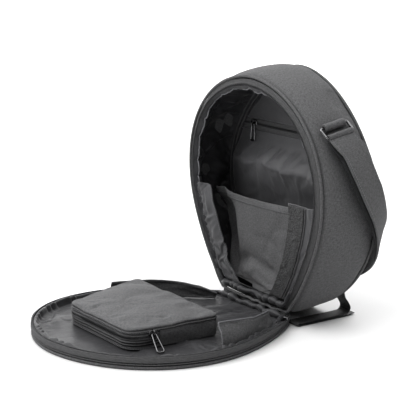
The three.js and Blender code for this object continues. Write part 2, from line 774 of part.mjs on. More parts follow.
// Where the lid's outline, shrunk by an inset, lies on one side at a place along Y
function lidSide(side, inset, y) {
  const outline = ANGLES.map((angle) => lidPoint(angle, inset, 0));
  const { left, right } = spanAt(outline.map((point) => new THREE.Vector3(point.x, 0, point.y)), y);
  return side > 0 ? right : left;
}

// Side flaps that stand inside the lid's rim and lean in
function makeLidFlaps() {
  for (const { name, side, start, end, taper, lean, shift } of LID_FLAPS) {
    const place = (u, v, aside) => {
      const y = lerp(start.y, end.y, v);
      const foot = lidSide(side, FLAP_INSET, y) - side * shift * v;
      const top = lerp(start.top, end.top, v ** taper);
      const wave = FLAP_WAVE.height * Math.sin(FLAP_WAVE.halves * Math.PI * v) * u;
      const x = foot - side * (lean * u + wave + aside);
      return new THREE.Vector3(x, y, lerp(lerp(start.foot, end.foot, v), top, u));
    };
    const geometry = sheet(
      (u, v) => place(u, v, 0),
      (u, v) => place(u, v, CLOTH),
      FLAP_STEPS.across,
      FLAP_STEPS.along,
    );
    addPiece(name, geometry, OUTER_CLOTH);
  }
}

// Cloth hinge between the lid's rim and the mouth's piping, rippled along its length
function makeHingeStrip() {
  const low = LID_RIM_AT_HINGE + CLEARANCE;
  const high = HINGE_HEIGHT - CLEARANCE;
  const { left, right, ripples, height, front } = HINGE_STRIP;
  const place = (u, v, behind) => {
    const ripple = height * Math.sin(2 * Math.PI * ripples * v) * Math.sin(Math.PI * u);
    return new THREE.Vector3(lerp(left, right, v), ripple - front + behind, lerp(low, high, u));
  };
  const geometry = sheet(
    (u, v) => place(u, v, 0),
    (u, v) => place(u, v, CLOTH),
    HINGE_STRIP_STEPS.across,
    HINGE_STRIP_STEPS.along,
  );
  addPiece('hinge_strip', geometry, OUTER_CLOTH);
}

// A hollow sleeve round a straight rod
function sleeve(middle, axis, aside, length, outerRadius, innerRadius) {
  const normal = new THREE.Vector3().crossVectors(axis, aside).normalize();
  const loopAt = (radius, end) => {
    const loop = [];
    for (let k = 0; k < SLEEVE_SIDES; k += 1) {
      const angle = (2 * Math.PI * k) / SLEEVE_SIDES;
      loop.push(
        middle
          .clone()
          .addScaledVector(axis, (end * length) / 2)
          .addScaledVector(aside, radius * Math.cos(angle))
          .addScaledVector(normal, radius * Math.sin(angle)),
      );
    }
    return loop;
  };
  const outer = [loopAt(outerRadius, -1), loopAt(outerRadius, 1)];
  const inner = [loopAt(innerRadius, -1), loopAt(innerRadius, 1)];
  return band(outer, inner);
}

// A wire bent to a rectangle with round corners, in the plane of two unit vectors
function wireLoop(middle, across, down, width, length, cornerRadius, wireRadius, sides) {
  const row = [];
  const signs = [[1, 1], [-1, 1], [-1, -1], [1, -1]];
  signs.forEach(([a, b], corner) => {
    for (let k = 0; k <= WIRE_CORNER_STEPS; k += 1) {
      const angle = (Math.PI / 2) * (corner + k / WIRE_CORNER_STEPS);
      const x = a * (width / 2 - cornerRadius) + cornerRadius * Math.cos(angle);
      const y = b * (length / 2 - cornerRadius) + cornerRadius * Math.sin(angle);
      row.push(middle.clone().addScaledVector(across, x).addScaledVector(down, y));
    }
  });
  const up = new THREE.Vector3().crossVectors(across, down).normalize();
  return cordRing(row, up, wireRadius, sides);
}

// Where the handle's ring sits on the wall: its two long wires run along the shell's depth
function ringSeat() {
  const angle = THREE.MathUtils.degToRad(RING_ANGLE);
  const anchor = shellPoint(angle, RING_LEVEL, 0);
  const deeper = shellPoint(angle, RING_LEVEL + RING_LEVEL_STEP, 0);
  const axis = deeper.sub(shellPoint(angle, RING_LEVEL - RING_LEVEL_STEP, 0)).normalize();
  const below = shellPoint(angle - ANGLE_STEP, RING_LEVEL, 0);
  const down = below.sub(anchor).projectOnPlane(axis).normalize();
  const out = new THREE.Vector3().crossVectors(down, axis).normalize();
  const upper = anchor.clone().addScaledVector(out, TAB_RADIUS + CLEARANCE + TAB_OFF_WALL);
  const lean = down.clone().multiplyScalar(RING_BREADTH).addScaledVector(out, RING_LIFT).normalize();
  const lower = upper.clone().addScaledVector(lean, RING_BREADTH - 2 * RING_WIRE_RADIUS);
  return { upper, lower, lean, axis };
}

function makeRing() {
  const { upper, lower, lean, axis } = ringSeat();
  const middle = upper.clone().lerp(lower, 0.5);
  const bore = RING_WIRE_RADIUS + CLEARANCE;
  const breadth = RING_BREADTH - 2 * RING_WIRE_RADIUS;
  const length = RING_LENGTH - 2 * RING_WIRE_RADIUS;
  const ring = wireLoop(middle, axis, lean, length, breadth, RING_CORNER, RING_WIRE_RADIUS, RING_SIDES);
  addPiece('handle_ring', ring, DARK_METAL);
  addPiece('ring_tab', sleeve(upper, axis, lean, TAB_LENGTH, TAB_RADIUS, bore), OUTER_CLOTH);
  addPiece('handle_fold', sleeve(lower, axis, lean, FOLD_LENGTH, FOLD_RADIUS, bore), OUTER_CLOTH);
}

// Carrying handle: a twisted band from its ring to the back panel
function makeHandle() {
  const { lower, lean, axis } = ringSeat();
  const start = lower.clone().addScaledVector(lean, FOLD_RADIUS + CLEARANCE);
  const second = start.clone().addScaledVector(lean, HANDLE_LEAD);
  const stations = [start, second, ...HANDLE_PATH.map((row) => new THREE.Vector3(row.x, row.y, row.z))];
  const turns = [0, 0, ...HANDLE_PATH.map((row) => row.turn)];
  const curve = new THREE.CatmullRomCurve3(stations);
  const points = curve.getPoints(HANDLE_STEPS);
  const widths = points.map((point, i) => {
    const place = ((stations.length - 1) * i) / HANDLE_STEPS;
    const row = Math.min(Math.floor(place), stations.length - 2);
    const turn = lerp(turns[row], turns[row + 1], place - row);
    const along = curve.getTangent(i / HANDLE_STEPS);
    const aside = new THREE.Vector3().crossVectors(along, BACKWARD).normalize();
    const radians = THREE.MathUtils.degToRad(turn);
    const level = axis.clone().lerp(BACKWARD, Math.min(place / HANDLE_TURN_STATIONS, 1));
    const width = level.multiplyScalar(Math.cos(radians));
    return width.addScaledVector(aside, -Math.sin(radians)).projectOnPlane(along).normalize();
  });
  addPiece('handle_strap', ribbon(points, widths, HANDLE_WIDTH, HANDLE_THICKNESS), OUTER_CLOTH);
}

// Mounting webbing: sewn to the back panel, turned under the shell, its tail folded back on the floor
function makeWebbing() {
  const points = WEBBING_PATH.map((row) => new THREE.Vector3(WEBBING_X, row.y, row.z));
  const curve = new THREE.CatmullRomCurve3(points, false, 'centripetal');
  const line = curve.getPoints(WEBBING_STEPS);
  const across = line.map(() => new THREE.Vector3(1, 0, 0));
  addPiece('mount_webbing', ribbon(line, across, WEBBING_WIDTH, WEBBING_THICKNESS), WEBBING_CLOTH);
}

// A box of a size at a place, turned into a frame of three unit vectors
function framedBox(size, middle, frame) {
  const geometry = new THREE.BoxGeometry(size.along, size.high, size.deep);
  const basis = new THREE.Matrix4().makeBasis(frame.along, frame.high, frame.out);
  return geometry.applyMatrix4(basis.setPosition(middle));
}

// Zip slider on a wall: a base, and a bridge on two posts that the pull's wire passes under
function sliderBody(seat, frame) {
  const at = (high, out) =>
    seat.clone().addScaledVector(frame.high, high).addScaledVector(frame.out, out);
  const { length, height, base, post, rise, cap, bridge, sunk } = SLIDER;
  const postSize = { along: bridge, high: post, deep: rise + 2 * sunk };
  const postOut = base + rise / 2;
  const postHigh = (height - post) / 2;
  const boxes = [
    framedBox({ along: length, high: height, deep: base }, at(0, base / 2), frame),
    framedBox(postSize, at(postHigh, postOut), frame),
    framedBox(postSize, at(-postHigh, postOut), frame),
    framedBox({ along: bridge, high: height, deep: cap }, at(0, base + rise + cap / 2), frame),
  ];
  const solid = boxes.map(toManifold).reduce((whole, box) => whole.add(box));
  return fromManifold(solid);
}

// A slider and its wire pull, hanging from the bridge and leaning out by an angle
function makeZipEnd(prefix, seat, frame, lean) {
  addPiece(`${prefix}_slider`, sliderBody(seat, frame), DARK_METAL);
  const pivot = seat.clone().addScaledVector(frame.out, SLIDER.base + SLIDER.rise / 2);
  const radians = THREE.MathUtils.degToRad(lean);
  const hang = frame.high.clone().multiplyScalar(-Math.cos(radians));
  hang.addScaledVector(frame.out, Math.sin(radians));
  const middle = pivot.clone().addScaledVector(hang, PULL_LENGTH / 2);
  const size = [PULL_WIDTH, PULL_LENGTH, PULL_CORNER, PULL_WIRE_RADIUS, PULL_SIDES];
  const loop = wireLoop(middle, frame.along, hang, ...size);
  addPiece(`${prefix}_pull`, loop, DARK_METAL);
}

function makeZipEnds() {
  const pocketSeat = new THREE.Vector3(
    POCKET_SLIDER.x,
    BACK_LINING_DEPTH - CLEARANCE,
    (POCKET_ZIP_LOW + POCKET_ZIP_HIGH) / 2 + POCKET_SLIDER.lift,
  );
  const pocketFrame = { along: new THREE.Vector3(1, 0, 0), high: UP, out: new THREE.Vector3(0, -1, 0) };
  makeZipEnd('pocket', pocketSeat, pocketFrame, 0);
  const wall = POUCH_CORNERS.slice(2);
  const share = (POUCH_SLIDER.y - wall[0].y) / (wall[1].y - wall[0].y);
  const along = new THREE.Vector3(wall[1].x - wall[0].x, wall[1].y - wall[0].y, 0).normalize();
  const out = new THREE.Vector3(along.y, -along.x, 0);
  const x = lerp(wall[0].x, wall[1].x, share);
  const pouchSeat = new THREE.Vector3(x, POUCH_SLIDER.y, POUCH_SLIDER.z).addScaledVector(out, CLEARANCE);
  makeZipEnd('pouch', pouchSeat, { along, high: UP, out }, POUCH_PULL_LEAN);
}

// Slider of the main zip, run down to the near end of the hinge
function makeMainSlider() {
  const { step, inset, height, length, width } = MAIN_SLIDER;
  const radians = lerp(ANGLES[HINGE_STEPS], ANGLES[HINGE_STEPS + 1], step);
  const here = lidPoint(radians, inset, 0);
  const along = lidPoint(radians + ANGLE_STEP, inset, 0).sub(here).normalize();
  const out = new THREE.Vector3().crossVectors(along, UP);
  const seat = rimTop(HINGE_STEPS + 1) + CLEARANCE + height / 2;
  const geometry = framedBox({ along: length, high: width, deep: height }, here.setZ(seat), {
    along,
    high: out,
    out: new THREE.Vector3().crossVectors(along, out),
  });
  addPiece('main_slider', geometry, DARK_METAL);
}

makeShellWall();
makeShellPiping();
makeBackPanel();
makeShellZipTape();
makeShellLining();
makeBackPocket();
makeDivider();
makeLid();
makePouch();
makeLidFlaps();
makeHingeStrip();
makeRing();
makeHandle();
makeWebbing();
makeZipEnds();
makeMainSlider();

export default bag;
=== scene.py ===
"""Looks of a soft saddlebag, unzipped: a padded shell standing on its cloth hinge and a lid lying open.

Laid out as an add-on and run as a script. Sizes are millimetres in the hinge frame, whose origin is the
middle of the hinge on the floor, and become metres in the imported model's frame when a mesh is made.
"""

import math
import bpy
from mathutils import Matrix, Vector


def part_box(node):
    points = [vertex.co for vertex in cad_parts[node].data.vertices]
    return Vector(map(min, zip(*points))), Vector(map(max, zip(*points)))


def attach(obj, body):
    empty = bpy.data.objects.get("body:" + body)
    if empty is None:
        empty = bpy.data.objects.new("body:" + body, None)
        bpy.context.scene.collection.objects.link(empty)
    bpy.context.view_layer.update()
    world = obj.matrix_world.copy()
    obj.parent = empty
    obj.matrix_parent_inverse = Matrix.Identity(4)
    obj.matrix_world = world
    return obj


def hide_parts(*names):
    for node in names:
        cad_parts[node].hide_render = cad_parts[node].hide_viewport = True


bl_info = {
    "name": "Open Saddlebag",
    "version": (1, 0, 0),
    "blender": (4, 5, 0),
    "location": "View3D > Sidebar > Saddlebag",
    "description": "Dresses a soft open saddlebag in cloth, zips, stitching and metal",
    "category": "Object",
}

from collections import namedtuple

import bpy
import numpy as np
from mathutils import Vector

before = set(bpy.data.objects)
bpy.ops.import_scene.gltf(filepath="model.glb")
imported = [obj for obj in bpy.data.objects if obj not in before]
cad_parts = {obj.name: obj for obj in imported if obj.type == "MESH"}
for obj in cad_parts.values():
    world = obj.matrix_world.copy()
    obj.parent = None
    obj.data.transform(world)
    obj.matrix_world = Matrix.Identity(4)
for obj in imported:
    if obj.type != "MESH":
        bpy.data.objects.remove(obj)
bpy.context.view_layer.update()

MM = 0.001
TURN = 2 * math.pi
BODY = "bag"
UV_NAME = "Cloth"
UP = np.array([0.0, 0.0, 1.0])
BACKWARD = np.array([0.0, 1.0, 0.0])
SIDEWAYS = np.array([1.0, 0.0, 0.0])

# The hinge frame's place: the mouth's piping lies on its plane
PIPING_LOW, PIPING_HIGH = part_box("mouth_piping")
HINGE_Y = (PIPING_LOW.y + PIPING_HIGH.y) / 2 / MM
HINGE_PLACE = np.array([0, HINGE_Y, 0])

# Outlines: an egg with a power curve, cut flat where the hinge runs
Outline = namedtuple("Outline", "centre half_width half_height taper power skew cut")
MOUTH_HEIGHT = 360
HINGE_CUT = 52.6
MOUTH = Outline(0, 172.5, (MOUTH_HEIGHT + HINGE_CUT) / 2, -0.256, 1.075, 0.061, HINGE_CUT)
BACK = Outline(1.5, 190, 195, 0.048, 1.095, 0.023, 0)
CORNER = math.acos((1 - HINGE_CUT / MOUTH.half_height) ** (1 / MOUTH.power))
HINGE_HEIGHT = 19
SHELL_DEPTH = 96
SHELL_CORE = 200
WALL_BULGE = 4
FLOOR_GAP = 0.3
LID_CORE_Y = -170
LID_EDGE_Y = 2
LID_GROWTH = 1.025
LID_RIM = 19
LID_RIM_AT_HINGE = 12
HINGE_NARROWING = 0.55
ARCH_TURN = TURN - 2 * CORNER
ARCH_SECTIONS = 50
HINGE_FADE = 3 * ARCH_TURN / ARCH_SECTIONS

# Steps round the outlines
HINGE_STEPS = 60
ARCH_STEPS = 420

PIPING_RADIUS = 2.4
PIPING_SEAT = 2.6
PIPING_SIDES = 12
SEAM_INSET = 5.4
TAPE_WIDTH = 10.6
TOOTH_SHARE = 0.8
THREAD_LIFT = 0.5
SLIP_LIMIT = 2


def srgb(code):
    """Linear colour of an sRGB hex value: each byte through the sRGB curve."""
    parts = np.array([int(code[i : i + 2], 16) for i in (1, 3, 5)]) / 255
    linear = np.where(parts <= 0.04045, parts / 12.92, ((parts + 0.055) / 1.055) ** 2.4)
    return tuple(float(part) for part in linear)


def length_prop(name, description, millimetres):
    """A length that a user may change, kept in metres."""
    return bpy.props.FloatProperty(
        name=name, description=description, default=millimetres * MM, min=0, unit="LENGTH", precision=5
    )


def colour_prop(name, description, code):
    """A colour that a user may change, given as sRGB hex and kept linear."""
    return bpy.props.FloatVectorProperty(
        name=name, description=description, default=srgb(code), subtype="COLOR", min=0, max=1
    )


class SaddlebagSizes(bpy.types.PropertyGroup):
    """Sizes of the sewing: cloth, thread and wire"""

    cloth: length_prop("Cloth", "Thickness of the outer cloth", 1.4)
    lining: length_prop("Lining", "Thickness of the lining cloth", 0.8)
    stitch_pitch: length_prop("Stitch pitch", "Distance from one stitch to the next", 3.6)
    stitch_length: length_prop("Stitch length", "Length of thread that shows in one stitch", 2.7)
    thread: length_prop("Thread", "Radius of the sewing thread", 0.42)
    coil_pitch: length_prop("Coil pitch", "Distance from one zip tooth to the next", 2.0)
    wire: length_prop("Pull wire", "Radius of the zip pulls' wire", 1.2)
    wrinkle: length_prop("Wrinkle", "Height of the lining's main wrinkles", 5.0)
    gather: length_prop("Gather", "Height of the gathers along the zips", 2.6)


class SaddlebagColours(bpy.types.PropertyGroup):
    """Colours of the cloths, threads and metal"""

    outer: colour_prop("Outer cloth", "Woven polyester of the shell, lid and pouch", "#69696a")
    outer_dark: colour_prop("Outer cloth, dark yarn", "Darker yarn in the outer cloth", "#4f4f50")
    lining: colour_prop("Lining", "Satin nylon of the linings", "#3b3b3d")
    # Paler than the lining: painted light standing for the brighter light on the back pocket's cloth
    pocket: colour_prop("Pocket", "Nylon taffeta of the back pocket", "#5a5a5c")
    strip: colour_prop("Strip", "Polyester taffeta of the divider's side strips", "#4f4f51")
    tape: colour_prop("Zip tape", "Knitted tape of the zips", "#5f5f60")
    webbing: colour_prop("Webbing", "Polypropylene of the mounting webbing", "#414142")
    # Also the colour of pale tubes that paint highlights on the flaps' hems and the lining's gathered edge
    thread: colour_prop("Thread", "Polyester sewing thread", "#77777a")
    coil: colour_prop("Zip coil", "Nylon of the zips' coils", "#2a2a2c")
    hook: colour_prop("Hook band", "Nylon hooks on the divider's side", "#505051")
    # Near-black colour of the band under the handle strap: painted shadow where the strap shades the wall
    mesh: colour_prop("Spacer mesh", "Black mesh that pads the handle", "#171719")
    metal: colour_prop("Metal", "Black nickel of the ring, sliders and pulls", "#747475")
    floor: colour_prop("Floor", "Pale floor under the bag", "#e2e2e2")


def sizes():
    """The sizes in use, in millimetres, by name."""
    group = bpy.context.scene.saddlebag_sizes
    return {key: getattr(group, key) / MM for key in SaddlebagSizes.__annotations__}


def colours():
    """The colours in use, linear with alpha, by name."""
    group = bpy.context.scene.saddlebag_colours
    return {key: (*getattr(group, key), 1.0) for key in SaddlebagColours.__annotations__}


# Formulas shared by the pieces


def bell(distance, spread):
    """A bell curve: 1 at no distance, falling off over the spread."""
    return np.exp(-((distance / spread) ** 2))


def smooth_step(value, low, high):
    """0 below low, 1 above high, with a smooth cubic between."""
    share = np.clip((value - low) / (high - low), 0, 1)
    return share * share * (3 - 2 * share)


def between(ends, share):
    """Value at a share of the way from the first end to the second."""
    return ends[0] + (ends[1] - ends[0]) * share


def bells_at(x, y, table):
    """Sum of round bells: each row of the table gives a place, a spread and a height."""
    return sum(height * bell(np.hypot(x - px, y - py), spread) for px, py, spread, height in table)


def unit(vectors):
    """Vectors divided by their own lengths."""
    return vectors / np.linalg.norm(vectors, axis=-1, keepdims=True)


def signed_power(value, power):
    """A power that keeps the sign."""
    return np.sign(value) * np.abs(value) ** power


def egg(outline, angle):
    """Egg outline: x across and h above its foot.

    A sine and a cosine are raised to one power, then tapered and skewed.
    """
    drop = signed_power(np.cos(angle), outline.power)
    reach = signed_power(np.sin(angle), outline.power) * (1 + outline.taper * drop)
    x = outline.centre + outline.half_width * (reach + outline.skew * drop)
    return x, np.maximum(outline.half_height * (1 - drop) - outline.cut, 0)


def shell_at(angle, level, inset, y):
    """Points of the shell: the mouth's egg blended into the back's by level, then shrunk by inset."""
    front_x, front_h = egg(MOUTH, angle)
    rear_x, rear_h = egg(BACK, angle)
    x = front_x + (rear_x - front_x) * level
    z = (HINGE_HEIGHT + front_h) * (1 - level) + rear_h * level - SHELL_CORE
    bulge = 4 * WALL_BULGE * level * (1 - level)
    shrink = 1 - (inset - bulge) / np.hypot(x, z)
    height = np.maximum(SHELL_CORE + z * shrink, np.maximum(inset, 0) + FLOOR_GAP)
    return np.stack(np.broadcast_arrays(x * shrink, y, height), -1)


def lid_at(angle, inset, height):
    """Points of the lid: the mouth's egg laid on the floor before the hinge, shrunk by inset."""
    mouth_x, mouth_h = egg(MOUTH, angle)
    x = mouth_x * LID_GROWTH
    y = LID_EDGE_Y - mouth_h * LID_GROWTH - LID_CORE_Y
    shrink = 1 - inset / np.hypot(x, y)
    return np.stack(np.broadcast_arrays(x * shrink, LID_CORE_Y + y * shrink, height), -1)


def loop_angles():
    """Angles round the outline: even steps along the hinge, then even steps over the arch."""
    hinge = np.linspace(-CORNER, CORNER, HINGE_STEPS, endpoint=False)
    arch = np.linspace(CORNER, TURN - CORNER, ARCH_STEPS, endpoint=False)
    return np.concatenate([hinge, arch])


ANGLES = loop_angles()


def hinge_share(angle):
    """1 along the hinge, fading over the arch as a bell."""
    past = np.maximum(np.minimum(angle - CORNER, TURN - CORNER - angle), 0)
    return np.where(angle <= CORNER, 1.0, bell(past, HINGE_FADE))


AT_HINGE = hinge_share(ANGLES)
NARROW = between((1, HINGE_NARROWING), AT_HINGE)
RIM_TOP = between((LID_RIM, LID_RIM_AT_HINGE), AT_HINGE)


def arc_lengths(path, closed=False):
    """Distance along a path of points; a closed path has one more entry, its whole length."""
    ends = np.concatenate([path, path[:1]]) if closed else path
    steps = np.linalg.norm(np.diff(ends, axis=0), axis=1)
    return np.concatenate([[0.0], np.cumsum(steps)])


ROUND = arc_lengths(shell_at(ANGLES, 0.5, 0, 0), closed=True)[:-1]


def resample(path, spacing, closed=False):
    """Points at even distances along a path."""
    ends = np.concatenate([path, path[:1]]) if closed else path
    along = arc_lengths(path, closed)
    count = max(int(round(along[-1] / spacing)), 2)
    places = np.linspace(0, along[-1], count, endpoint=not closed)
    return np.stack([np.interp(places, along, ends[:, k]) for k in range(3)], -1)


def ripples(u, v, seed, length, height, count=7):
    """Soft random waves: sines of about one length in seeded directions, added up."""
    rng = np.random.default_rng(seed)
    total = np.zeros(np.broadcast(u, v).shape)
    for _ in range(count):
        way = rng.uniform(0, TURN)
        stretch = rng.uniform(0.6, 1.7)
        phase = rng.uniform(0, TURN)
        total = total + np.sin((u * math.cos(way) + v * math.sin(way)) * TURN / (length * stretch) + phase)
    return height * total / math.sqrt(count)


def creases(u, v, seed, count, reach, way, long, wide, height):
    """Random creases: narrow bent ridges, a bell across and along each line, half of them pressed in."""
    rng = np.random.default_rng(seed)
    total = np.zeros(np.broadcast(u, v).shape)
    for _ in range(count):
        middle_u = rng.uniform(*reach[0])
        middle_v = rng.uniform(*reach[1])
        turn = rng.normal(*way)
        stretch = rng.uniform(0.5, 1.5)
        bend = rng.normal(0, 0.25) / long
        rise = height * rng.uniform(0.4, 1) * rng.choice([-0.7, 1])
        along = (u - middle_u) * math.cos(turn) + (v - middle_v) * math.sin(turn)
        aside = (v - middle_v) * math.cos(turn) - (u - middle_u) * math.sin(turn) - bend * along * along
        total = total + rise * bell(aside, wide * stretch) * bell(along, long * stretch)
    return total


def scallops(u, seed, length):
    """Gathered edge: rounded arches with sharp valleys, of uneven lengths and heights, from 0 to 1."""
    warp = ripples(u, np.zeros_like(u), seed, 4 * length, 1.3, 4)
    strength = 0.55 + 0.45 * np.sin(ripples(u, np.zeros_like(u), seed + 500, 3 * length, 1.6, 4))
    return strength * np.abs(np.sin(math.pi * u / length + warp)) ** 0.7


def spline(points, steps):
    """Centripetal Catmull-Rom curve through points, with even steps in each span."""
    points = np.asarray(points, float)
    ends = np.concatenate([2 * points[:1] - points[1:2], points, 2 * points[-1:] - points[-2:-1]])
    p0, p1, p2, p3 = ends[:-3], ends[1:-2], ends[2:-1], ends[3:]
    d0, d1, d2 = (np.linalg.norm(b - a, axis=1)[:, None] ** 0.5 for a, b in ((p0, p1), (p1, p2), (p2, p3)))
    start = ((p1 - p0) / d0 - (p2 - p0) / (d0 + d1) + (p2 - p1) / d1) * d1
    stop = ((p2 - p1) / d1 - (p3 - p1) / (d1 + d2) + (p3 - p2) / d2) * d1
    t = np.linspace(0, 1, steps, endpoint=False)[:, None, None]
    square, cube = t * t, t * t * t
    curve = (
        (2 * cube - 3 * square + 1) * p1
        + (cube - 2 * square + t) * start
        + (3 * square - 2 * cube) * p2
        + (cube - square) * stop
    )
    return np.concatenate([curve.transpose(1, 0, 2).reshape(-1, points.shape[1]), points[-1:]])


def frames_along(path, hint, closed=False):
    """Tangent, across and up vectors along a path: across is square to the tangent and the hint."""
    if closed:
        tangent = unit(np.roll(path, -1, 0) - np.roll(path, 1, 0))
    else:
        tangent = unit(np.gradient(path, axis=0))
    across = unit(np.cross(tangent, np.broadcast_to(hint, path.shape)))
    return tangent, across, np.cross(across, tangent)


def swept(path, across, up, profile):
    """Grid of a profile carried along a path: each profile point is set out across and up at each place."""
    profile = np.asarray(profile, float)
    return (
        path[:, None]
        + across[:, None] * profile[None, :, :1]
        + up[:, None] * profile[None, :, 1:2]
    )


def circle(radius, sides):
    """Round profile."""
    turn = np.arange(sides) * TURN / sides
    return np.stack([radius * np.cos(turn), radius * np.sin(turn)], -1)


def rounded_bar(width, height, power=5, sides=20):
    """Flat bar profile with soft corners: a superellipse."""
    turn = np.arange(sides) * TURN / sides
    x = width / 2 * signed_power(np.cos(turn), 2 / power)
    y = height / 2 * signed_power(np.sin(turn), 2 / power)
    return np.stack([x, y], -1)


# Meshes from grids


def grid_faces(rows, columns, wrap_rows, wrap_columns):
    """Quads of a grid and, beside them, each corner's row and column before wrapping."""
    i = np.arange(rows if wrap_rows else rows - 1)[:, None, None]
    j = np.arange(columns if wrap_columns else columns - 1)[None, :, None]
    down = i + np.array([0, 0, 1, 1])
    over = j + np.array([0, 1, 1, 0])
    down, over = (a.reshape(-1, 4) for a in np.broadcast_arrays(down, over))
    return (down % rows) * columns + over % columns, down, over


def grid_lengths(points, axis, wrap):
    """Mean distance along one direction of a grid, with one more entry where it wraps."""
    ends = np.concatenate([points, np.take(points, [0], axis)], axis) if wrap else points
    steps = np.linalg.norm(np.diff(ends, axis=axis), axis=-1).mean(1 - axis)
    return np.concatenate([[0.0], np.cumsum(steps)])


def new_object(name, points, faces, uvs, material):
    """A smooth mesh object at the origin: hinge-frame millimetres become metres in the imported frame."""
    placed = (np.asarray(points, float) + HINGE_PLACE) * MM
    mesh = bpy.data.meshes.new(name)
    mesh.from_pydata(placed.tolist(), [], faces)
    layer = mesh.uv_layers.new(name=UV_NAME)
    layer.data.foreach_set("uv", (np.asarray(uvs) * MM).astype(np.float32).ravel())
    mesh.polygons.foreach_set("use_smooth", np.ones(len(mesh.polygons), bool))
    mesh.materials.append(material)
    mesh.update()
    piece = bpy.data.objects.new(name, mesh)
    bpy.context.scene.collection.objects.link(piece)
    return piece


def add_grid(
    name, grid, material, wrap_rows=False, wrap_columns=False, poles=(None, None), flip=False, flat=None
):
    """Skin over a grid of points, with a fan of triangles to each pole.

    UVs are distances along the grid, or two of the coordinates where the cloth was cut flat.
    """
    rows, columns = grid.shape[:2]
    quads, down, over = grid_faces(rows, columns, wrap_rows, wrap_columns)
    along = grid_lengths(grid, 1, wrap_columns)
    across = grid_lengths(grid, 0, wrap_rows)
    groups = [(quads, np.stack([along[over], across[down]], -1))]
    points = grid.reshape(-1, 3)
    ring = np.arange(columns)
    after = (ring + 1) % columns
    reach = along[:columns]
    fan_uvs = np.stack([np.stack([reach, reach * 0], -1)] * 3, 1)
    for end, pole in enumerate(poles):
        if pole is None:
            continue
        first, second = (after, ring) if end == 0 else (ring, after)
        base = end * (rows - 1) * columns
        tip = np.full(columns, len(points))
        points = np.concatenate([points, [pole]])
        groups.append((np.stack([base + first, base + second, tip], -1), fan_uvs))
    order = slice(None, None, -1) if flip else slice(None)
    face_list = []
    uv_list = []
    for faces, uvs in groups:
        turned = faces[:, order]
        face_list += turned.tolist()
        if flat is None:
            uv_list.append(uvs[:, order].reshape(-1, 2))
        else:
            uv_list.append(points[turned.ravel()][:, list(flat)])
    return new_object(name, points, face_list, np.concatenate(uv_list), material)


def outward(piece):
    """Turns a closed mesh's faces out: flips them where the enclosed volume comes out negative."""
    mesh = piece.data
    mesh.calc_loop_triangles()
    corners = np.zeros(len(mesh.loop_triangles) * 3, np.int32)
    mesh.loop_triangles.foreach_get("vertices", corners)
    places = np.zeros(len(mesh.vertices) * 3, np.float32)
    mesh.vertices.foreach_get("co", places)
    a, b, c = places.reshape(-1, 3)[corners.reshape(-1, 3)].astype(float).transpose(1, 0, 2)
    if np.einsum("ij,ij->", a, np.cross(b, c)) < 0:
        mesh.flip_normals()
    return piece


def add_tube(name, path, profile, hint, material, closed=False):
    """A profile carried along a path; an open one is closed by a pole at each end."""
    _, across, up = frames_along(path, hint, closed)
    grid = swept(path, across, up, profile)
    ends = (None, None) if closed else (path[0], path[-1])
    return outward(add_grid(name, grid, material, wrap_rows=closed, wrap_columns=True, poles=ends))


def thicken(piece, thickness):
    """Gives a sheet its thickness behind the face that shows."""
    solid = piece.modifiers.new("Thickness", "SOLIDIFY")
    solid.thickness = thickness * MM
    solid.offset = -1
    return piece


def vertex_array(mesh, name):
    """Places or normals of all of a mesh's points, one row each."""
    values = np.zeros(len(mesh.vertices) * 3, np.float32)
    source, field = (mesh.vertices, "co") if name == "places" else (mesh.vertex_normals, "vector")
    source.foreach_get(field, values)
    return values.reshape(-1, 3).astype(float)


def settle(piece, held, slack, out, back, pressure=0.0, frames=16, bending=0.4):
    """Cloth simulation: held points stay, slack lengthens the threads and pressure fills the cloth.

    The travel out of its face and behind it is then eased into the two limits by a hyperbolic tangent.
    """
    mesh = piece.data
    scene = bpy.context.scene
    pins = piece.vertex_groups.new(name="seams")
    loose = np.zeros(len(mesh.vertices), bool)
    loose[: held.size] = ~held.ravel()
    pins.add(np.flatnonzero(~loose).tolist(), 1.0, "REPLACE")
    cloth = piece.modifiers.new("Settle", "CLOTH")
    cloth.settings.vertex_group_mass = pins.name
    cloth.settings.quality = 6
    cloth.settings.mass = 0.15
    cloth.settings.tension_stiffness = 25
    cloth.settings.compression_stiffness = 25
    cloth.settings.shear_stiffness = 10
    cloth.settings.bending_stiffness = bending
    cloth.settings.shrink_min = -slack
    cloth.settings.use_pressure = pressure != 0
    cloth.settings.uniform_pressure_force = pressure
    cloth.settings.effector_weights.gravity = 0
    cloth.collision_settings.use_collision = False
    cloth.point_cache.frame_end = frames
    before = vertex_array(mesh, "places")
    normal = vertex_array(mesh, "normals")
    for step in range(1, frames + 1):
        scene.frame_set(step)
    moved = piece.evaluated_get(bpy.context.evaluated_depsgraph_get()).data
    travel = vertex_array(moved, "places") - before
    piece.modifiers.remove(cloth)
    piece.vertex_groups.remove(pins)
    scene.frame_set(1)
    rise = (travel * normal).sum(1, keepdims=True) / MM
    aside = travel - normal * rise * MM
    eased = np.where(rise > 0, out * np.tanh(rise / out), back * np.tanh(rise / back))
    slip = np.linalg.norm(aside, axis=1, keepdims=True)
    aside = aside * np.minimum(1, SLIP_LIMIT * MM / np.maximum(slip, 1e-9))
    mesh.vertices.foreach_set("co", (before + normal * eased * MM + aside).astype(np.float32).ravel())
    mesh.update()
    return piece


def surface_of(piece, shape):
    """Points of a grid piece as they lie now, in millimetres of the hinge frame."""
    places = vertex_array(piece.data, "places")[: shape[0] * shape[1]] / MM
    return (places - HINGE_PLACE).reshape(*shape[:2], 3)


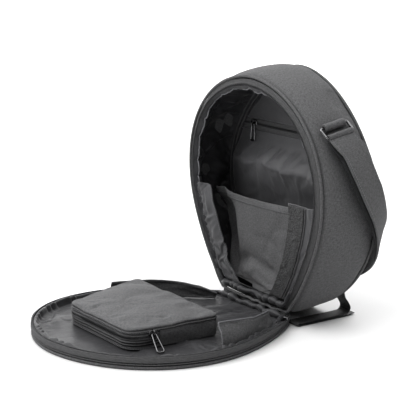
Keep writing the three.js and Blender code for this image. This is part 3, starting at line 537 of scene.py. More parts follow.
def sheet_of(piece, held, *rests_on):
    """Reads a sheet's cut size off the mesh, lengths along the threads and area, and hands the piece back
    unchanged.
    """
    mesh = piece.data
    areas = np.zeros(len(mesh.polygons), np.float32)
    mesh.polygons.foreach_get("area", areas)
    uvs = np.zeros(len(mesh.loops) * 2, np.float32)
    mesh.uv_layers[UV_NAME].data.foreach_get("uv", uvs)
    width, length = np.ptp(uvs.reshape(-1, 2), axis=0).astype(float)
    area = float(areas.sum(dtype=float))
    length = max(length, area / width)
    return piece


def bead(length, width, height, sides=6, rings=4):
    """Small rounded bead, its axis along x: rings of a sine outline between two tips. Points and faces."""
    turn = np.arange(sides) * TURN / sides
    place = (np.arange(rings) + 0.5) / rings
    reach = np.sin(math.pi * place) ** 0.5
    x = np.repeat((place - 0.5)[:, None] * length, sides, 1)
    y = reach[:, None] * np.cos(turn) * width / 2
    z = reach[:, None] * np.sin(turn) * height / 2
    barrel = np.stack([x, y, z], -1).reshape(-1, 3)
    points = np.concatenate([barrel, [[-length / 2, 0, 0], [length / 2, 0, 0]]])
    quads, _, _ = grid_faces(rings, sides, False, True)
    ring = np.arange(sides)
    after = (ring + 1) % sides
    last = (rings - 1) * sides
    head = np.stack([after, ring, np.full(sides, rings * sides)], -1)
    tail = np.stack([last + ring, last + after, np.full(sides, rings * sides + 1)], -1)
    return points, quads[:, ::-1], np.concatenate([head[:, ::-1], tail[:, ::-1]])


def scatter(name, shape, places, tangent, across, up, material):
    """One mesh of many copies of a small shape, each turned into the frame at its place."""
    points, quads, triangles = shape
    copies = (
        places[:, None]
        + tangent[:, None] * points[None, :, :1]
        + across[:, None] * points[None, :, 1:2]
        + up[:, None] * points[None, :, 2:3]
    )
    shift = (np.arange(len(places)) * len(points))[:, None, None]
    groups = [(faces[None] + shift).reshape(-1, faces.shape[1]) for faces in (quads, triangles)]
    corners = np.concatenate([group.ravel() for group in groups])
    flat = copies.reshape(-1, 3)
    face_list = groups[0].tolist() + groups[1].tolist()
    return outward(new_object(name, flat, face_list, flat[corners][:, :2], material))


def stitches(name, seams, material):
    """Rows of stitches: beads of thread at the pitch along each seam, a path and the way its cloth faces."""
    size = sizes()
    shape = bead(size["stitch_length"], 2 * size["thread"], 2 * size["thread"])
    rows = []
    for path, facing, closed in seams:
        line = resample(path, size["stitch_pitch"], closed)
        rows.append((line, *frames_along(line, facing, closed)))
    parts = [np.concatenate(part) for part in zip(*rows)]
    return scatter(name, shape, *parts, material)


def zip_coil(name, path, facing, material, closed=False, width=3.0, height=1.7):
    """Zip teeth: flat beads set square to the zip's line at the coil's pitch."""
    size = sizes()
    line = resample(path, size["coil_pitch"], closed)
    tangent, across, up = frames_along(line, facing, closed)
    shape = bead(width, TOOTH_SHARE * size["coil_pitch"], height)
    return scatter(name, shape, line, across, -tangent, up, material)


def dress(piece, slot, *nodes, body=BODY):
    """Hangs a piece on its body and hides the imported parts that it stands for; the slot is not used."""
    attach(piece, body)
    if nodes:
        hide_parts(*nodes)
    return piece


def span_of(row, heights):
    """Left and right ends of a closed outline at given heights, by interpolation up each half."""
    top = int(np.argmax(row[:, 2]))
    right = row[HINGE_STEPS // 2 : top + 1]
    left = np.concatenate([row[top:], row[: HINGE_STEPS // 2 + 1]])[::-1]
    ends = []
    for half in (left, right):
        order = np.argsort(half[:, 2], kind="stable")
        ends.append(np.interp(heights, half[order, 2], half[order, 0]))
    return ends


# Materials


def add_node(tree, kind, settings=None, inputs=None):
    """Adds a node: settings are its own values, inputs are socket values or the outputs linked to them."""
    made = tree.nodes.new(kind)
    for key, value in (settings or {}).items():
        setattr(made, key, value)
    for key, value in (inputs or {}).items():
        if isinstance(value, bpy.types.NodeSocket):
            tree.links.new(value, made.inputs[key])
        else:
            made.inputs[key].default_value = value
    return made


def new_material(name):
    """A node material with its tree and its shader."""
    material = bpy.data.materials.new(name)
    material.use_nodes = True
    tree = material.node_tree
    shader = next(node for node in tree.nodes if node.type == "BSDF_PRINCIPLED")
    return material, tree, shader


def darker(colour, share):
    """A colour cut to a share of its light."""
    return tuple(share * part for part in colour[:3]) + (1.0,)


def thread_waves(tree, spacing_mm):
    """Two sines along the cloth's own UV, one for each thread direction, that cross once a spacing."""
    uv = add_node(tree, "ShaderNodeUVMap", {"uv_map": UV_NAME}).outputs["UV"]
    axes = add_node(tree, "ShaderNodeSeparateXYZ", None, {"Vector": uv})
    rate = math.pi / (spacing_mm * MM)
    waves = []
    for axis in ("X", "Y"):
        turns = add_node(tree, "ShaderNodeMath", {"operation": "MULTIPLY"}, {0: axes.outputs[axis], 1: rate})
        wave = add_node(tree, "ShaderNodeMath", {"operation": "SINE"}, {0: turns.outputs[0]})
        waves.append(wave.outputs[0])
    return uv, waves


def yarn_noise(tree, uv, along_mm, across_mm):
    """Noise drawn out along the threads, as yarns of uneven colour give it."""
    scale = (1 / (along_mm * MM), 1 / (across_mm * MM), 1)
    stretched = add_node(tree, "ShaderNodeMapping", None, {"Vector": uv, "Scale": scale})
    inputs = {"Vector": stretched.outputs[0], "Scale": 1.0, "Detail": 2.0}
    return add_node(tree, "ShaderNodeTexNoise", {"noise_dimensions": "2D"}, inputs).outputs["Fac"]


# The Mix node's sockets for colours: share, first, second, and the result
MIX_SHARE, MIX_FIRST, MIX_SECOND, MIX_RESULT = 0, 6, 7, 2


def finish_cloth(tree, shader, share, pair, relief, strength, depth_mm, constants, pressed=False):
    """Completes a cloth: two colours mixed by a share, a bump from a relief, and the shader's constants."""
    inputs = {MIX_SHARE: share, MIX_FIRST: pair[0], MIX_SECOND: pair[1]}
    mixed = add_node(tree, "ShaderNodeMix", {"data_type": "RGBA"}, inputs)
    tree.links.new(mixed.outputs[MIX_RESULT], shader.inputs["Base Color"])
    inputs = {"Height": relief, "Strength": strength, "Distance": depth_mm * MM}
    bump = add_node(tree, "ShaderNodeBump", {"invert": pressed}, inputs)
    tree.links.new(bump.outputs[0], shader.inputs["Normal"])
    for key, value in constants.items():
        shader.inputs[key].default_value = value


def woven_polyester(name):
    """Plain-woven polyester with a matt coating: crossing threads, flecked yarns, a soft sheen."""
    material, tree, shader = new_material(name)
    colour = colours()
    # Real threads lie 0.5 mm apart; drawn three times as coarse so that the weave shows
    uv, (warp, weft) = thread_waves(tree, 1.5)
    weave = add_node(tree, "ShaderNodeMath", {"operation": "MULTIPLY"}, {0: warp, 1: weft})
    # Flecks of yarn 4.5 mm long and 1.6 mm wide, also drawn three times as coarse
    warp_fleck = yarn_noise(tree, uv, 4.5, 1.6)
    weft_fleck = yarn_noise(tree, uv, 1.6, 4.5)
    flecks = add_node(tree, "ShaderNodeMath", {"operation": "ADD"}, {0: warp_fleck, 1: weft_fleck})
    limits = {"From Min": 0.6, "From Max": 1.4, "To Min": 0.0, "To Max": 1.0}
    spread = add_node(tree, "ShaderNodeMapRange", None, {"Value": flecks.outputs[0], **limits})
    pair = (colour["outer_dark"], colour["outer"])
    constants = {"Roughness": 0.82, "Specular IOR Level": 0.3, "Sheen Weight": 0.05, "Sheen Roughness": 0.4}
    finish_cloth(tree, shader, spread.outputs[0], pair, weave.outputs[0], 0.35, 0.4, constants)
    return material


def lining_nylon(name, colour_name, roughness, gloss):
    """Fine lining: smooth and lustrous, with pressed creases that catch the light."""
    material, tree, shader = new_material(name)
    colour = colours()[colour_name]
    # Real threads lie 0.1 mm apart; drawn at 0.8 mm so that a faint grain shows
    uv, (warp, _) = thread_waves(tree, 0.8)
    # Shade that drifts over 40 to 60 mm, and crushed places of 14 by 22 mm
    shade = yarn_noise(tree, uv, 60, 40)
    crush = yarn_noise(tree, uv, 14, 22)
    relief = add_node(tree, "ShaderNodeMath", {"operation": "MULTIPLY_ADD"}, {0: warp, 1: 0.06, 2: crush})
    constants = {"Roughness": roughness, "Specular IOR Level": gloss, "Sheen Weight": 0.1}
    finish_cloth(tree, shader, shade, (darker(colour, 0.8), colour), relief.outputs[0], 0.4, 1.6, constants)
    return material


def ribbed_weave(name, colour_name, rib_mm, yarn_mm, shade, ribs, strength, depth_mm, constants):
    """Ribbed tape or webbing: ribs along and across at one spacing, the yarns' shade uneven."""
    material, tree, shader = new_material(name)
    colour = colours()[colour_name]
    uv, (warp, weft) = thread_waves(tree, rib_mm)
    fleck = yarn_noise(tree, uv, *yarn_mm)
    relief = add_node(tree, "ShaderNodeMath", {"operation": "MULTIPLY_ADD"}, {0: warp, 1: ribs, 2: weft})
    pair = (darker(colour, shade), colour)
    finish_cloth(tree, shader, fleck, pair, relief.outputs[0], strength, depth_mm, constants)
    return material


def hook_nylon(name):
    """Hook band of a touch fastener: a field of tiny nylon hooks, rough, with painted shade between them."""
    material, tree, shader = new_material(name)
    colour = colours()["hook"]
    place = add_node(tree, "ShaderNodeTexCoord").outputs["Object"]
    # Hooks stand 1.5 mm apart; drawn at 2.2 mm so that they show
    inputs = {"Vector": place, "Scale": 1 / (2.2 * MM)}
    cells = add_node(tree, "ShaderNodeTexVoronoi", {"feature": "F1"}, inputs).outputs["Distance"]
    # Painted shade: the colour falls to a quarter of its light away from each hook, in the hollows between
    pair = (colour, darker(colour, 0.25))
    finish_cloth(tree, shader, cells, pair, cells, 0.9, 1.2, {"Roughness": 0.7}, pressed=True)
    return material


def plain_finish(name, colour_name, roughness, metallic=0.0, grain_mm=3.0, depth_mm=0.08):
    """A moulded, spun or plated surface: one colour, its gloss broken by a faint grain."""
    material, tree, shader = new_material(name)
    place = add_node(tree, "ShaderNodeTexCoord").outputs["Object"]
    inputs = {"Vector": place, "Scale": 1 / (grain_mm * MM), "Detail": 3.0}
    grain = add_node(tree, "ShaderNodeTexNoise", None, inputs).outputs["Fac"]
    inputs = {"Height": grain, "Strength": 0.5, "Distance": depth_mm * MM}
    bump = add_node(tree, "ShaderNodeBump", None, inputs)
    tree.links.new(bump.outputs[0], shader.inputs["Normal"])
    inputs = {"Value": grain, "To Min": 0.8 * roughness, "To Max": min(1.2 * roughness, 1.0)}
    worn = add_node(tree, "ShaderNodeMapRange", None, inputs)
    tree.links.new(worn.outputs[0], shader.inputs["Roughness"])
    shader.inputs["Base Color"].default_value = colours()[colour_name]
    shader.inputs["Metallic"].default_value = metallic
    return material


def lit_backdrop(name):
    """Studio paper with its own lamps on it: it glows evenly and shows white."""
    material, _, shader = new_material(name)
    shader.inputs["Base Color"].default_value = colours()["floor"]
    shader.inputs["Emission Color"].default_value = (1, 1, 1, 1)
    shader.inputs["Emission Strength"].default_value = BACKDROP_GLOW
    return material


FINISHES = {
    # Matt grey cloth whose flecked yarns break up the light
    "woven_polyester": (woven_polyester, {}),
    # Dark satin: soft lights along each wrinkle
    "satin_nylon": (lining_nylon, {"colour_name": "lining", "roughness": 0.38, "gloss": 0.24}),
    # Paler and duller than the satin, with broad soft lights; the paler colour is painted light on the back's
    # cloth
    "pocket_nylon_painted_light": (lining_nylon, {"colour_name": "pocket", "roughness": 0.5, "gloss": 0.35}),
    # Crisp cloth with a light on each crumple
    "polyester_taffeta": (lining_nylon, {"colour_name": "strip", "roughness": 0.45, "gloss": 0.4}),
    # Matt tape; real ribs lie 0.7 mm apart and are drawn twice as coarse so that they show
    "knitted_zip_tape": (
        ribbed_weave,
        {
            "colour_name": "tape",
            "rib_mm": 1.4,
            "yarn_mm": (6, 2),
            "shade": 0.6,
            "ribs": 0.5,
            "strength": 0.4,
            "depth_mm": 0.4,
            "constants": {"Roughness": 0.85, "Specular IOR Level": 0.3},
        },
    ),
    # Waxy dark band with thick ribs
    "polypropylene_webbing": (
        ribbed_weave,
        {
            "colour_name": "webbing",
            "rib_mm": 1.8,
            "yarn_mm": (3, 5),
            "shade": 0.55,
            "ribs": 0.4,
            "strength": 0.6,
            "depth_mm": 0.5,
            "constants": {"Roughness": 0.6},
        },
    ),
    # Rough field of hooks, darkened between them by painted shade
    "nylon_hook_band": (hook_nylon, {}),
    # Pale fuzzy thread; the same pale finish paints highlights along the flaps' hems and the lining's
    # gathered edge
    "thread_and_painted_highlight": (plain_finish, {"colour_name": "thread", "roughness": 0.7, "grain_mm": 0.8}),
    # Near-black matt band without any gloss: painted shadow under the handle strap's near edge
    "painted_shadow_band": (
        plain_finish,
        {"colour_name": "mesh", "roughness": 0.85, "grain_mm": 2.0, "depth_mm": 0.5},
    ),
    # Moulded coil with a small clear light on each tooth
    "nylon_coil": (plain_finish, {"colour_name": "coil", "roughness": 0.38}),
    # Plated wire and castings: dark, with sharp bright lines
    "black_nickel": (plain_finish, {"colour_name": "metal", "roughness": 0.24, "metallic": 1.0}),
    "lit_backdrop": (lit_backdrop, {}),
    # Painted floor without gloss
    "matt_floor": (plain_finish, {"colour_name": "floor", "roughness": 0.9, "grain_mm": 40}),
}


def finish_named(name):
    """A finish by name, made the first time it is asked for."""
    maker, values = FINISHES[name]
    return bpy.data.materials.get(name) or maker(name, **values)


# Shell

# Depths of the wall's rows, close together where it dips into its two seams
WALL_FRONT_ROWS = (2.6, 3.2, 4.2, 5.6, 7.6)
WALL_MIDDLE_ROWS = np.linspace(10, 86, 26)
WALL_REAR_ROWS = (88, 89.6, 90.8, 91.5, 91.9)
WALL_INNER_ROWS = np.array([90.5, 60, 30, 4])
WALL_FREE_ROWS = slice(5, 32)
WALL_RUN = 89.3
WALL_DIPS = (6.6, 5.2)
DIP_LENGTH = 2.4
WALL_PADDING = 1.2
WALL_THICKNESS = 4.6
WALL_HELD_SHARE = 0.2
BACK_EDGE_SHARES = (1, 0.985, 0.965, 0.94)
BACK_INNER_SHARES = np.linspace(0.9, 0.06, 18)
BACK_THICKNESS = 3.0
BACK_PROUD = 0.7
BACK_ROLL = 2.4
BACK_ROLL_RATE = 40
BACK_STITCH_INSET = 12
BACK_STITCH_PROUD = 1.0
REAR_PIPING_SINK = 1.3
HINGE_FORWARD = 5
HINGE_RAMP = (0.02, 0.3)


def rings_to(core, outline, shares):
    """Copies of a closed outline drawn in towards a core, one for each share of the way out."""
    return core + (outline - core)[None] * np.asarray(shares)[:, None, None]


def wall_surface():
    """Padded wall from mouth to back with soft dents, then its inside on the way forward again.

    It dips into both seams by exponentials of the distance to them and is padded by a sine between.
    """
    depth = np.concatenate([WALL_FRONT_ROWS, WALL_MIDDLE_ROWS, WALL_REAR_ROWS])
    front_dip = WALL_DIPS[0] * np.exp(-(depth - depth[0]) / DIP_LENGTH)
    rear_dip = WALL_DIPS[1] * np.exp(-(depth[-1] - depth) / DIP_LENGTH)
    dents = ripples(ROUND[None], depth[:, None], seed=11, length=95, height=0.7) * (1 - AT_HINGE)
    padded = WALL_PADDING * np.sin(math.pi * (depth - depth[0]) / WALL_RUN)
    inset = (front_dip + rear_dip - padded)[:, None] - dents
    outer = shell_at(ANGLES[None], depth[:, None] / SHELL_DEPTH, inset, depth[:, None])
    inside = WALL_INNER_ROWS[:, None]
    inner = shell_at(ANGLES[None], inside / SHELL_DEPTH, WALL_THICKNESS, inside)
    return np.concatenate([outer, inner])


def back_surface():
    """Back panel: rings from its seam to the middle, rolled down at the edge and faintly cushioned."""
    share = np.concatenate([BACK_EDGE_SHARES, BACK_INNER_SHARES])
    rings = rings_to(UP * SHELL_CORE, shell_at(ANGLES, 1.0, SEAM_INSET, 0), share)
    roll = BACK_ROLL * np.exp(-(1 - share) * BACK_ROLL_RATE)
    soft = ripples(rings[..., 0], rings[..., 2], seed=12, length=130, height=0.35)
    rings[..., 1] = SHELL_DEPTH + BACK_PROUD - roll[:, None] + soft * (1 - share**4)[:, None]
    return rings, np.array([0, rings[-1, :, 1].mean(), SHELL_CORE])


def piping_wave(angle):
    """Waviness of the piping along the hinge, where the cloth is gathered."""
    return ripples(angle * 100, np.zeros_like(angle), seed=13, length=26, height=1.3) * AT_HINGE


class SADDLEBAG_OT_shell(bpy.types.Operator):
    """Make the shell's padded wall, back panel and piped seams"""

    bl_idname = "saddlebag.shell"
    bl_label = "Shell"

    def execute(self, context):
        cloth = finish_named("woven_polyester")
        surface = wall_surface()
        wall = outward(add_grid("shell_wall_cloth", surface, cloth, wrap_rows=True, wrap_columns=True))
        seams = np.ones(surface.shape[:2], bool)
        seams[WALL_FREE_ROWS] = AT_HINGE > WALL_HELD_SHARE
        settle(wall, seams, slack=0.012, out=1.4, back=1.6, pressure=1.0, frames=10)
        dress(wall, "outer_fabric", "shell_wall")
        rings, middle = back_surface()
        ends = (None, middle)
        back = add_grid("back_panel_cloth", rings, cloth, wrap_columns=True, poles=ends, flat=(0, 2))
        dress(thicken(back, BACK_THICKNESS), "outer_fabric", "back_panel")
        mouth = shell_at(ANGLES, 0, PIPING_SEAT, 0)
        mouth[:, 2] += piping_wave(ANGLES)
        mouth[:, 1] -= HINGE_FORWARD * smooth_step(CORNER - np.abs(ANGLES), *HINGE_RAMP)
        rear = shell_at(ANGLES, 1.0, PIPING_SEAT, SHELL_DEPTH - REAR_PIPING_SINK)
        round_cord = circle(PIPING_RADIUS, PIPING_SIDES)
        for node, path in (("mouth_piping", mouth), ("back_piping", rear)):
            cord = add_tube(node + "_cord", path, round_cord, BACKWARD, cloth, closed=True)
            dress(cord, "outer_fabric", node)
        thread = finish_named("thread_and_painted_highlight")
        panel_seam = shell_at(ANGLES, 1.0, BACK_STITCH_INSET, SHELL_DEPTH + BACK_STITCH_PROUD)
        dress(stitches("shell_stitches", [(panel_seam, BACKWARD, True)], thread), "outer_fabric")
        return {"FINISHED"}


# Main zip

SHELL_TAPE_STEPS = 8
SHELL_TAPE_START = 0.9
SHELL_TAPE_SPARE = 1.3
SHELL_TAPE_FRONT = -0.4
SHELL_TAPE_LEAN = 4.5
SHELL_TAPE_BOW = 0.9
SHELL_TAPE_THICKNESS = 1.1
SHELL_COIL_SPARE = 1.2
SHELL_COIL_Y = -5.3
LID_TAPE_STEPS = 9
LID_TAPE_FOOT = 10.2
LID_TAPE_SEAT = 1.6
LID_TAPE_BOW = 0.5
LID_TAPE_WAVE = 0.3
LID_TAPE_THICKNESS = 1.2
LID_COIL_SEAT = 2.3
LID_COIL_RISE = 0.5
LID_STITCH_SEAT = 0.75
LID_STITCH_RISE = 2.0


class SADDLEBAG_OT_main_zip(bpy.types.Operator):
    """Make both halves of the main zip: tapes, coils and the seam on the lid"""

    bl_idname = "saddlebag.main_zip"
    bl_label = "Main zip"

    def execute(self, context):
        tape = finish_named("knitted_zip_tape")
        coil = finish_named("nylon_coil")
        thread = finish_named("thread_and_painted_highlight")
        level = np.zeros_like(ROUND)
        across = np.linspace(0, 1, SHELL_TAPE_STEPS)[:, None]
        inset = SEAM_INSET + SHELL_TAPE_START + (TAPE_WIDTH - SHELL_TAPE_SPARE) * NARROW[None] * across
        wave = ripples(ROUND, level, seed=21, length=42, height=0.35) * (1 - AT_HINGE)
        bow = SHELL_TAPE_BOW * np.sin(math.pi * across)
        y = SHELL_TAPE_FRONT - SHELL_TAPE_LEAN * across + bow + wave * across
        grid = shell_at(ANGLES[None], 0, inset, y)
        shell_tape = add_grid("shell_zip_cloth", grid, tape, wrap_columns=True)
        dress(thicken(shell_tape, SHELL_TAPE_THICKNESS), "zip_tape", "shell_zip_tape")
        reach = SEAM_INSET + (TAPE_WIDTH - SHELL_COIL_SPARE) * NARROW
        edge = shell_at(ANGLES, 0, reach, SHELL_COIL_Y + wave)
        dress(zip_coil("shell_zip_coil", edge, -BACKWARD, coil, closed=True), "zip_tape")
        rise = np.linspace(0, 1, LID_TAPE_STEPS)[:, None]
        height = between((LID_TAPE_FOOT, RIM_TOP[None]), rise)
        wave = LID_TAPE_WAVE * ripples(ROUND, level, seed=22, length=46, height=1.0)[None] * rise
        bow = LID_TAPE_SEAT - LID_TAPE_BOW * np.sin(math.pi * rise) + wave
        lid_tape = add_grid("lid_zip_cloth", lid_at(ANGLES[None], bow, height), tape, wrap_columns=True)
        dress(thicken(lid_tape, LID_TAPE_THICKNESS), "zip_tape", "lid_zip_tape")
        rim = lid_at(ANGLES, LID_COIL_SEAT, RIM_TOP + LID_COIL_RISE)
        dress(zip_coil("lid_zip_coil", rim, UP, coil, closed=True), "zip_tape")
        seam = lid_at(ANGLES, LID_STITCH_SEAT, LID_TAPE_FOOT + LID_STITCH_RISE)
        outwards = lid_at(ANGLES[:1], -10, 0) - lid_at(ANGLES[:1], 0, 0)
        dress(stitches("main_zip_stitches", [(seam, outwards, True)], thread), "zip_tape")
        return {"FINISHED"}


# Lid

LID_CORE = np.array([0, LID_CORE_Y, 0])
LID_FLOOR = 9.6
LID_PANEL_HEIGHT = 8
LID_EDGE_SHARES = np.array([0, 0.03, 0.1, 0.3, 0.7, 0.9, 0.97, 1.0])
LID_EDGE_BULGE = 1.6
LID_EDGE_POWER = 0.35
LID_PANEL_SHARES = np.linspace(0.02, 0.98, 14)
LID_CORD_SEAT = 1.9
LID_CORD_HEIGHT = 7.4
LID_CORD_RADIUS = 1.05
# Inset and share of the rim's height along the lining's section
LID_LINING_SECTION = (
    (3.6, 0.95),
    (6, 1.14),
    (9.5, 1.08),
    (12, 0.5),
    (15, 0.08),
    (30, 0.0),
    (70, 0.0),
)
LID_INNER_SHARES = np.linspace(0.93, 0.04, 26)
LID_RIM_DROP = 0.6
LID_ROLL_INSET = 9
LID_ROLL_SPREAD = 6
LID_GATHER_REACH = 1.5
LID_GATHER_RISE = 4.0
LID_FLAT_ROWS = (22, 34)
LID_LOWEST_WAVE = -0.7
LID_HELD_INSET = 22
# Place, spread and height of the lining's soft waves
LID_WAVES = ((-95, -305, 24, 3.0), (20, -318, 26, 2.5), (70, -80, 24, 2.0), (-30, -70, 30, 2.5))
SECTION_STEPS = 7


def lid_lining_surface():
    """Lid's lining: a gathered roll inside the rim, then the tray's floor with creases and soft waves."""
    section = spline(LID_LINING_SECTION, SECTION_STEPS)
    inset, share = section[:, :1], section[:, 1:]
    roll = bell(inset - LID_ROLL_INSET, LID_ROLL_SPREAD)
    gather = scallops(ROUND, seed=31, length=20)[None] - 0.4
    reach = inset + LID_GATHER_REACH * sizes()["gather"] * gather * roll
    level = between((LID_FLOOR, RIM_TOP[None] - LID_RIM_DROP), share)
    rim = lid_at(ANGLES[None], reach, level + LID_GATHER_RISE * gather * roll)
    middle = LID_CORE + UP * LID_FLOOR
    grid = np.concatenate([rim, rings_to(middle, rim[-1], LID_INNER_SHARES)])
    flat = smooth_step(np.arange(len(grid)), *LID_FLAT_ROWS)[:, None]
    x, y = grid[..., 0], grid[..., 1]
    area = ((-150, 150), (-350, -10))
    folds = creases(x, y, seed=32, count=34, reach=area, way=(0.4, 0.7), long=34, wide=3.2, height=1.6)
    waves = bells_at(x, y, LID_WAVES) + folds + ripples(x, y, seed=33, length=60, height=0.4)
    grid[..., 2] += flat * np.maximum(waves, LID_LOWEST_WAVE)
    return grid, middle


class SADDLEBAG_OT_lid(bpy.types.Operator):
    """Make the lid: padded panel, piped edge, thin cord above it and the gathered lining"""

    bl_idname = "saddlebag.lid"
    bl_label = "Lid"

    def execute(self, context):
        cloth = finish_named("woven_polyester")
        side = np.sin(math.pi * LID_EDGE_SHARES) ** LID_EDGE_POWER
        inset = SEAM_INSET + LID_EDGE_BULGE - LID_EDGE_BULGE * side
        section = lid_at(ANGLES[None], inset[:, None], (LID_PANEL_HEIGHT * LID_EDGE_SHARES)[:, None])
        low = rings_to(LID_CORE, section[0], LID_PANEL_SHARES)
        high = rings_to(LID_CORE, section[-1], LID_PANEL_SHARES[::-1])
        high[..., 2] = LID_PANEL_HEIGHT
        grid = np.concatenate([low, section, high])
        tips = (LID_CORE, LID_CORE + UP * LID_PANEL_HEIGHT)
        panel = add_grid("lid_panel_cloth", grid, cloth, wrap_columns=True, poles=tips, flat=(0, 1))
        panel = outward(panel)
        dress(panel, "outer_fabric", "lid_panel")
        edge = lid_at(ANGLES, PIPING_SEAT, PIPING_RADIUS + 0.1)
        round_cord = circle(PIPING_RADIUS, PIPING_SIDES)
        piping = add_tube("lid_piping_cord", edge, round_cord, UP, cloth, closed=True)
        dress(piping, "outer_fabric", "lid_piping")
        line = lid_at(ANGLES, LID_CORD_SEAT, LID_CORD_HEIGHT)
        thin = add_tube("lid_thin_cord", line, circle(LID_CORD_RADIUS, 10), UP, cloth, closed=True)
        dress(thin, "outer_fabric")
        surface, middle = lid_lining_surface()
        lining = add_grid(
            "lid_lining_cloth",
            surface,
            finish_named("satin_nylon"),
            wrap_columns=True,
            poles=(None, middle),
            flip=True,
            flat=(0, 1),
        )
        inset = np.linalg.norm(surface[..., :2] - lid_at(ANGLES, 0, 0)[None, :, :2], axis=-1)
        settle(lining, inset < LID_HELD_INSET, slack=0.035, out=4.5, back=0.6, frames=10)
        sheet_of(lining, "gathered", "lid_panel_cloth")
        dress(thicken(lining, sizes()["lining"]), "lining_fabric", "lid_lining")
        return {"FINISHED"}


# Lining of the shell

# Each big fold: angle in degrees, depth, spread in degrees, length in depth, height and slant
LINING_FOLDS = (
    (205, 34, 7, 26, 1.4, 0.28),
    (228, 44, 8, 30, 1.8, -0.22),
    (250, 36, 6, 28, 1.6, 0.30),
    (272, 48, 8, 24, 1.8, -0.30),
    (292, 40, 7, 26, 1.4, 0.20),
    (150, 40, 8, 26, 1.4, -0.20),
    (118, 44, 8, 30, 1.2, 0.20),
    (84, 42, 8, 28, 1.2, -0.20),
)
# Inset and depth along the lining's section, from the zip to the back seam
LINING_SECTION = (
    (16.6, -4.2),
    (20, 0.5),
    (21, 5),
    (16, 11),
    (11, 20),
    (8, 30),
    (7, 50),
    (8, 66),
    (8.5, 76),
    (12, 82.5),
    (24.5, 83.8),
)
LINING_FREE_DEPTHS = (1, 80)
LINING_HELD_SHARE = 0.3
FOLD_FADE = (6, 24)
PINCH_DEPTH = 24
GATHER_DEPTH = 2.5
GATHER_SPREAD = 5
GATHER_REACH = 2.2
HINGE_GATHER = 4.5
FOLD_HIGHLIGHT_RADIUS = 1.2
FOLD_HIGHLIGHT_MARGIN = 8
BINDINGS = (("inner_binding", 12.5), ("outer_binding", 20))
BINDING_RADIUS = 1.5
BINDING_DEPTH = 82.6
BACK_LEVEL = 0.88


def lining_folds(angle, depth):
    """Big folds of the shell's lining: slanted bells round the mouth and in depth, fading to the zip."""
    degrees = np.degrees(angle)
    rise = 0
    for place, deep, spread, long, height, slant in LINING_FOLDS:
        aside = degrees - place - slant * (depth - deep)
        rise = rise + height * bell(aside, spread) * bell(depth - deep, long)
    return rise * smooth_step(depth, *FOLD_FADE)


def shell_lining_surface():
    """Shell's lining: its section round the mouth, a scalloped edge, big folds and fine creases."""
    size = sizes()
    section = spline(LINING_SECTION, SECTION_STEPS)
    inset, depth = section[:, :1], section[:, 1:]
    reach = between((SEAM_INSET, inset), np.where(depth < PINCH_DEPTH, NARROW[None], 1.0))
    arches = scallops(ROUND, seed=41, length=34)[None]
    gather = arches * bell(depth - GATHER_DEPTH, GATHER_SPREAD) * GATHER_REACH * size["gather"]
    forward = HINGE_GATHER * AT_HINGE[None] * (0.3 + arches) * bell(depth - 1, 6)
    folds = size["wrinkle"] * lining_folds(ANGLES[None], depth)
    area = ((60, 1080), (14, 80))
    fine = creases(
        ROUND[None], depth, seed=42, count=90, reach=area, way=(1.0, 0.5), long=34, wide=4.0, height=4.0
    )
    fine = fine * smooth_step(depth, 8, 20) * smooth_step(-depth, -82, -72)
    inner = reach + gather + (folds + fine) * (1 - AT_HINGE[None])
    level = np.maximum(depth, 0) / SHELL_DEPTH
    return shell_at(ANGLES[None], level, inner, depth - forward), depth


class SADDLEBAG_OT_shell_lining(bpy.types.Operator):
    """Make the gathered satin lining round the inside of the shell"""

    bl_idname = "saddlebag.shell_lining"
    bl_label = "Shell lining"

    def execute(self, context):
        surface, depth = shell_lining_surface()
        lining = add_grid("shell_lining_cloth", surface, finish_named("satin_nylon"), wrap_columns=True)
        shallow, deep = LINING_FREE_DEPTHS
        held = (depth < shallow) | (depth > deep) | (AT_HINGE[None] > LINING_HELD_SHARE)
        settle(lining, held, slack=0.06, out=8, back=3, frames=14, bending=12)
        rim = surface_of(lining, surface.shape)
        # A pale tube along the gather's crest: painted highlight on the lining's folded edge, in the thread
        # colour
        crest = int(np.argmin(np.abs(depth[:, 0] - GATHER_DEPTH)))
        line = rim[crest, HINGE_STEPS + FOLD_HIGHLIGHT_MARGIN : -FOLD_HIGHLIGHT_MARGIN] - THREAD_LIFT * BACKWARD
        thread = finish_named("thread_and_painted_highlight")
        edge = add_tube("lining_fold_highlight", line, circle(FOLD_HIGHLIGHT_RADIUS, 8), BACKWARD, thread)
        dress(edge, "lining_fabric")
        sheet_of(lining, "gathered", "shell_wall_cloth")
        tape = finish_named("knitted_zip_tape")
        for name, inset in BINDINGS:
            seam = shell_at(ANGLES[HINGE_STEPS:], BACK_LEVEL, inset, BINDING_DEPTH)
            dress(add_tube(name, seam, circle(BINDING_RADIUS, 8), BACKWARD, tape), "lining_fabric")
        dress(thicken(lining, sizes()["lining"]), "lining_fabric", "shell_lining")
        return {"FINISHED"}


# Back pocket and divider

BACK_DEPTH = 84.4
BACK_INSET = 23
BACK_ROW = shell_at(ANGLES, BACK_LEVEL, BACK_INSET, BACK_DEPTH)
BACK_TOP = BACK_ROW[:, 2].max() - 3
BACK_COLUMNS = 90
BACK_LINE_STEPS = 120
POCKET_LOW = 32
POCKET_ZIP_LOW = 274
POCKET_ZIP_HIGH = 291
POCKET_ZIP_MIDDLE = (POCKET_ZIP_LOW + POCKET_ZIP_HIGH) / 2
POCKET_HELD_DROP = 24
POCKET_EASE = 55
POCKET_BELLY_HEIGHT = 226
POCKET_BELLY_SPREAD = 31
POCKET_BELLY_DEPTH = 23
POCKET_PILLOW = 3
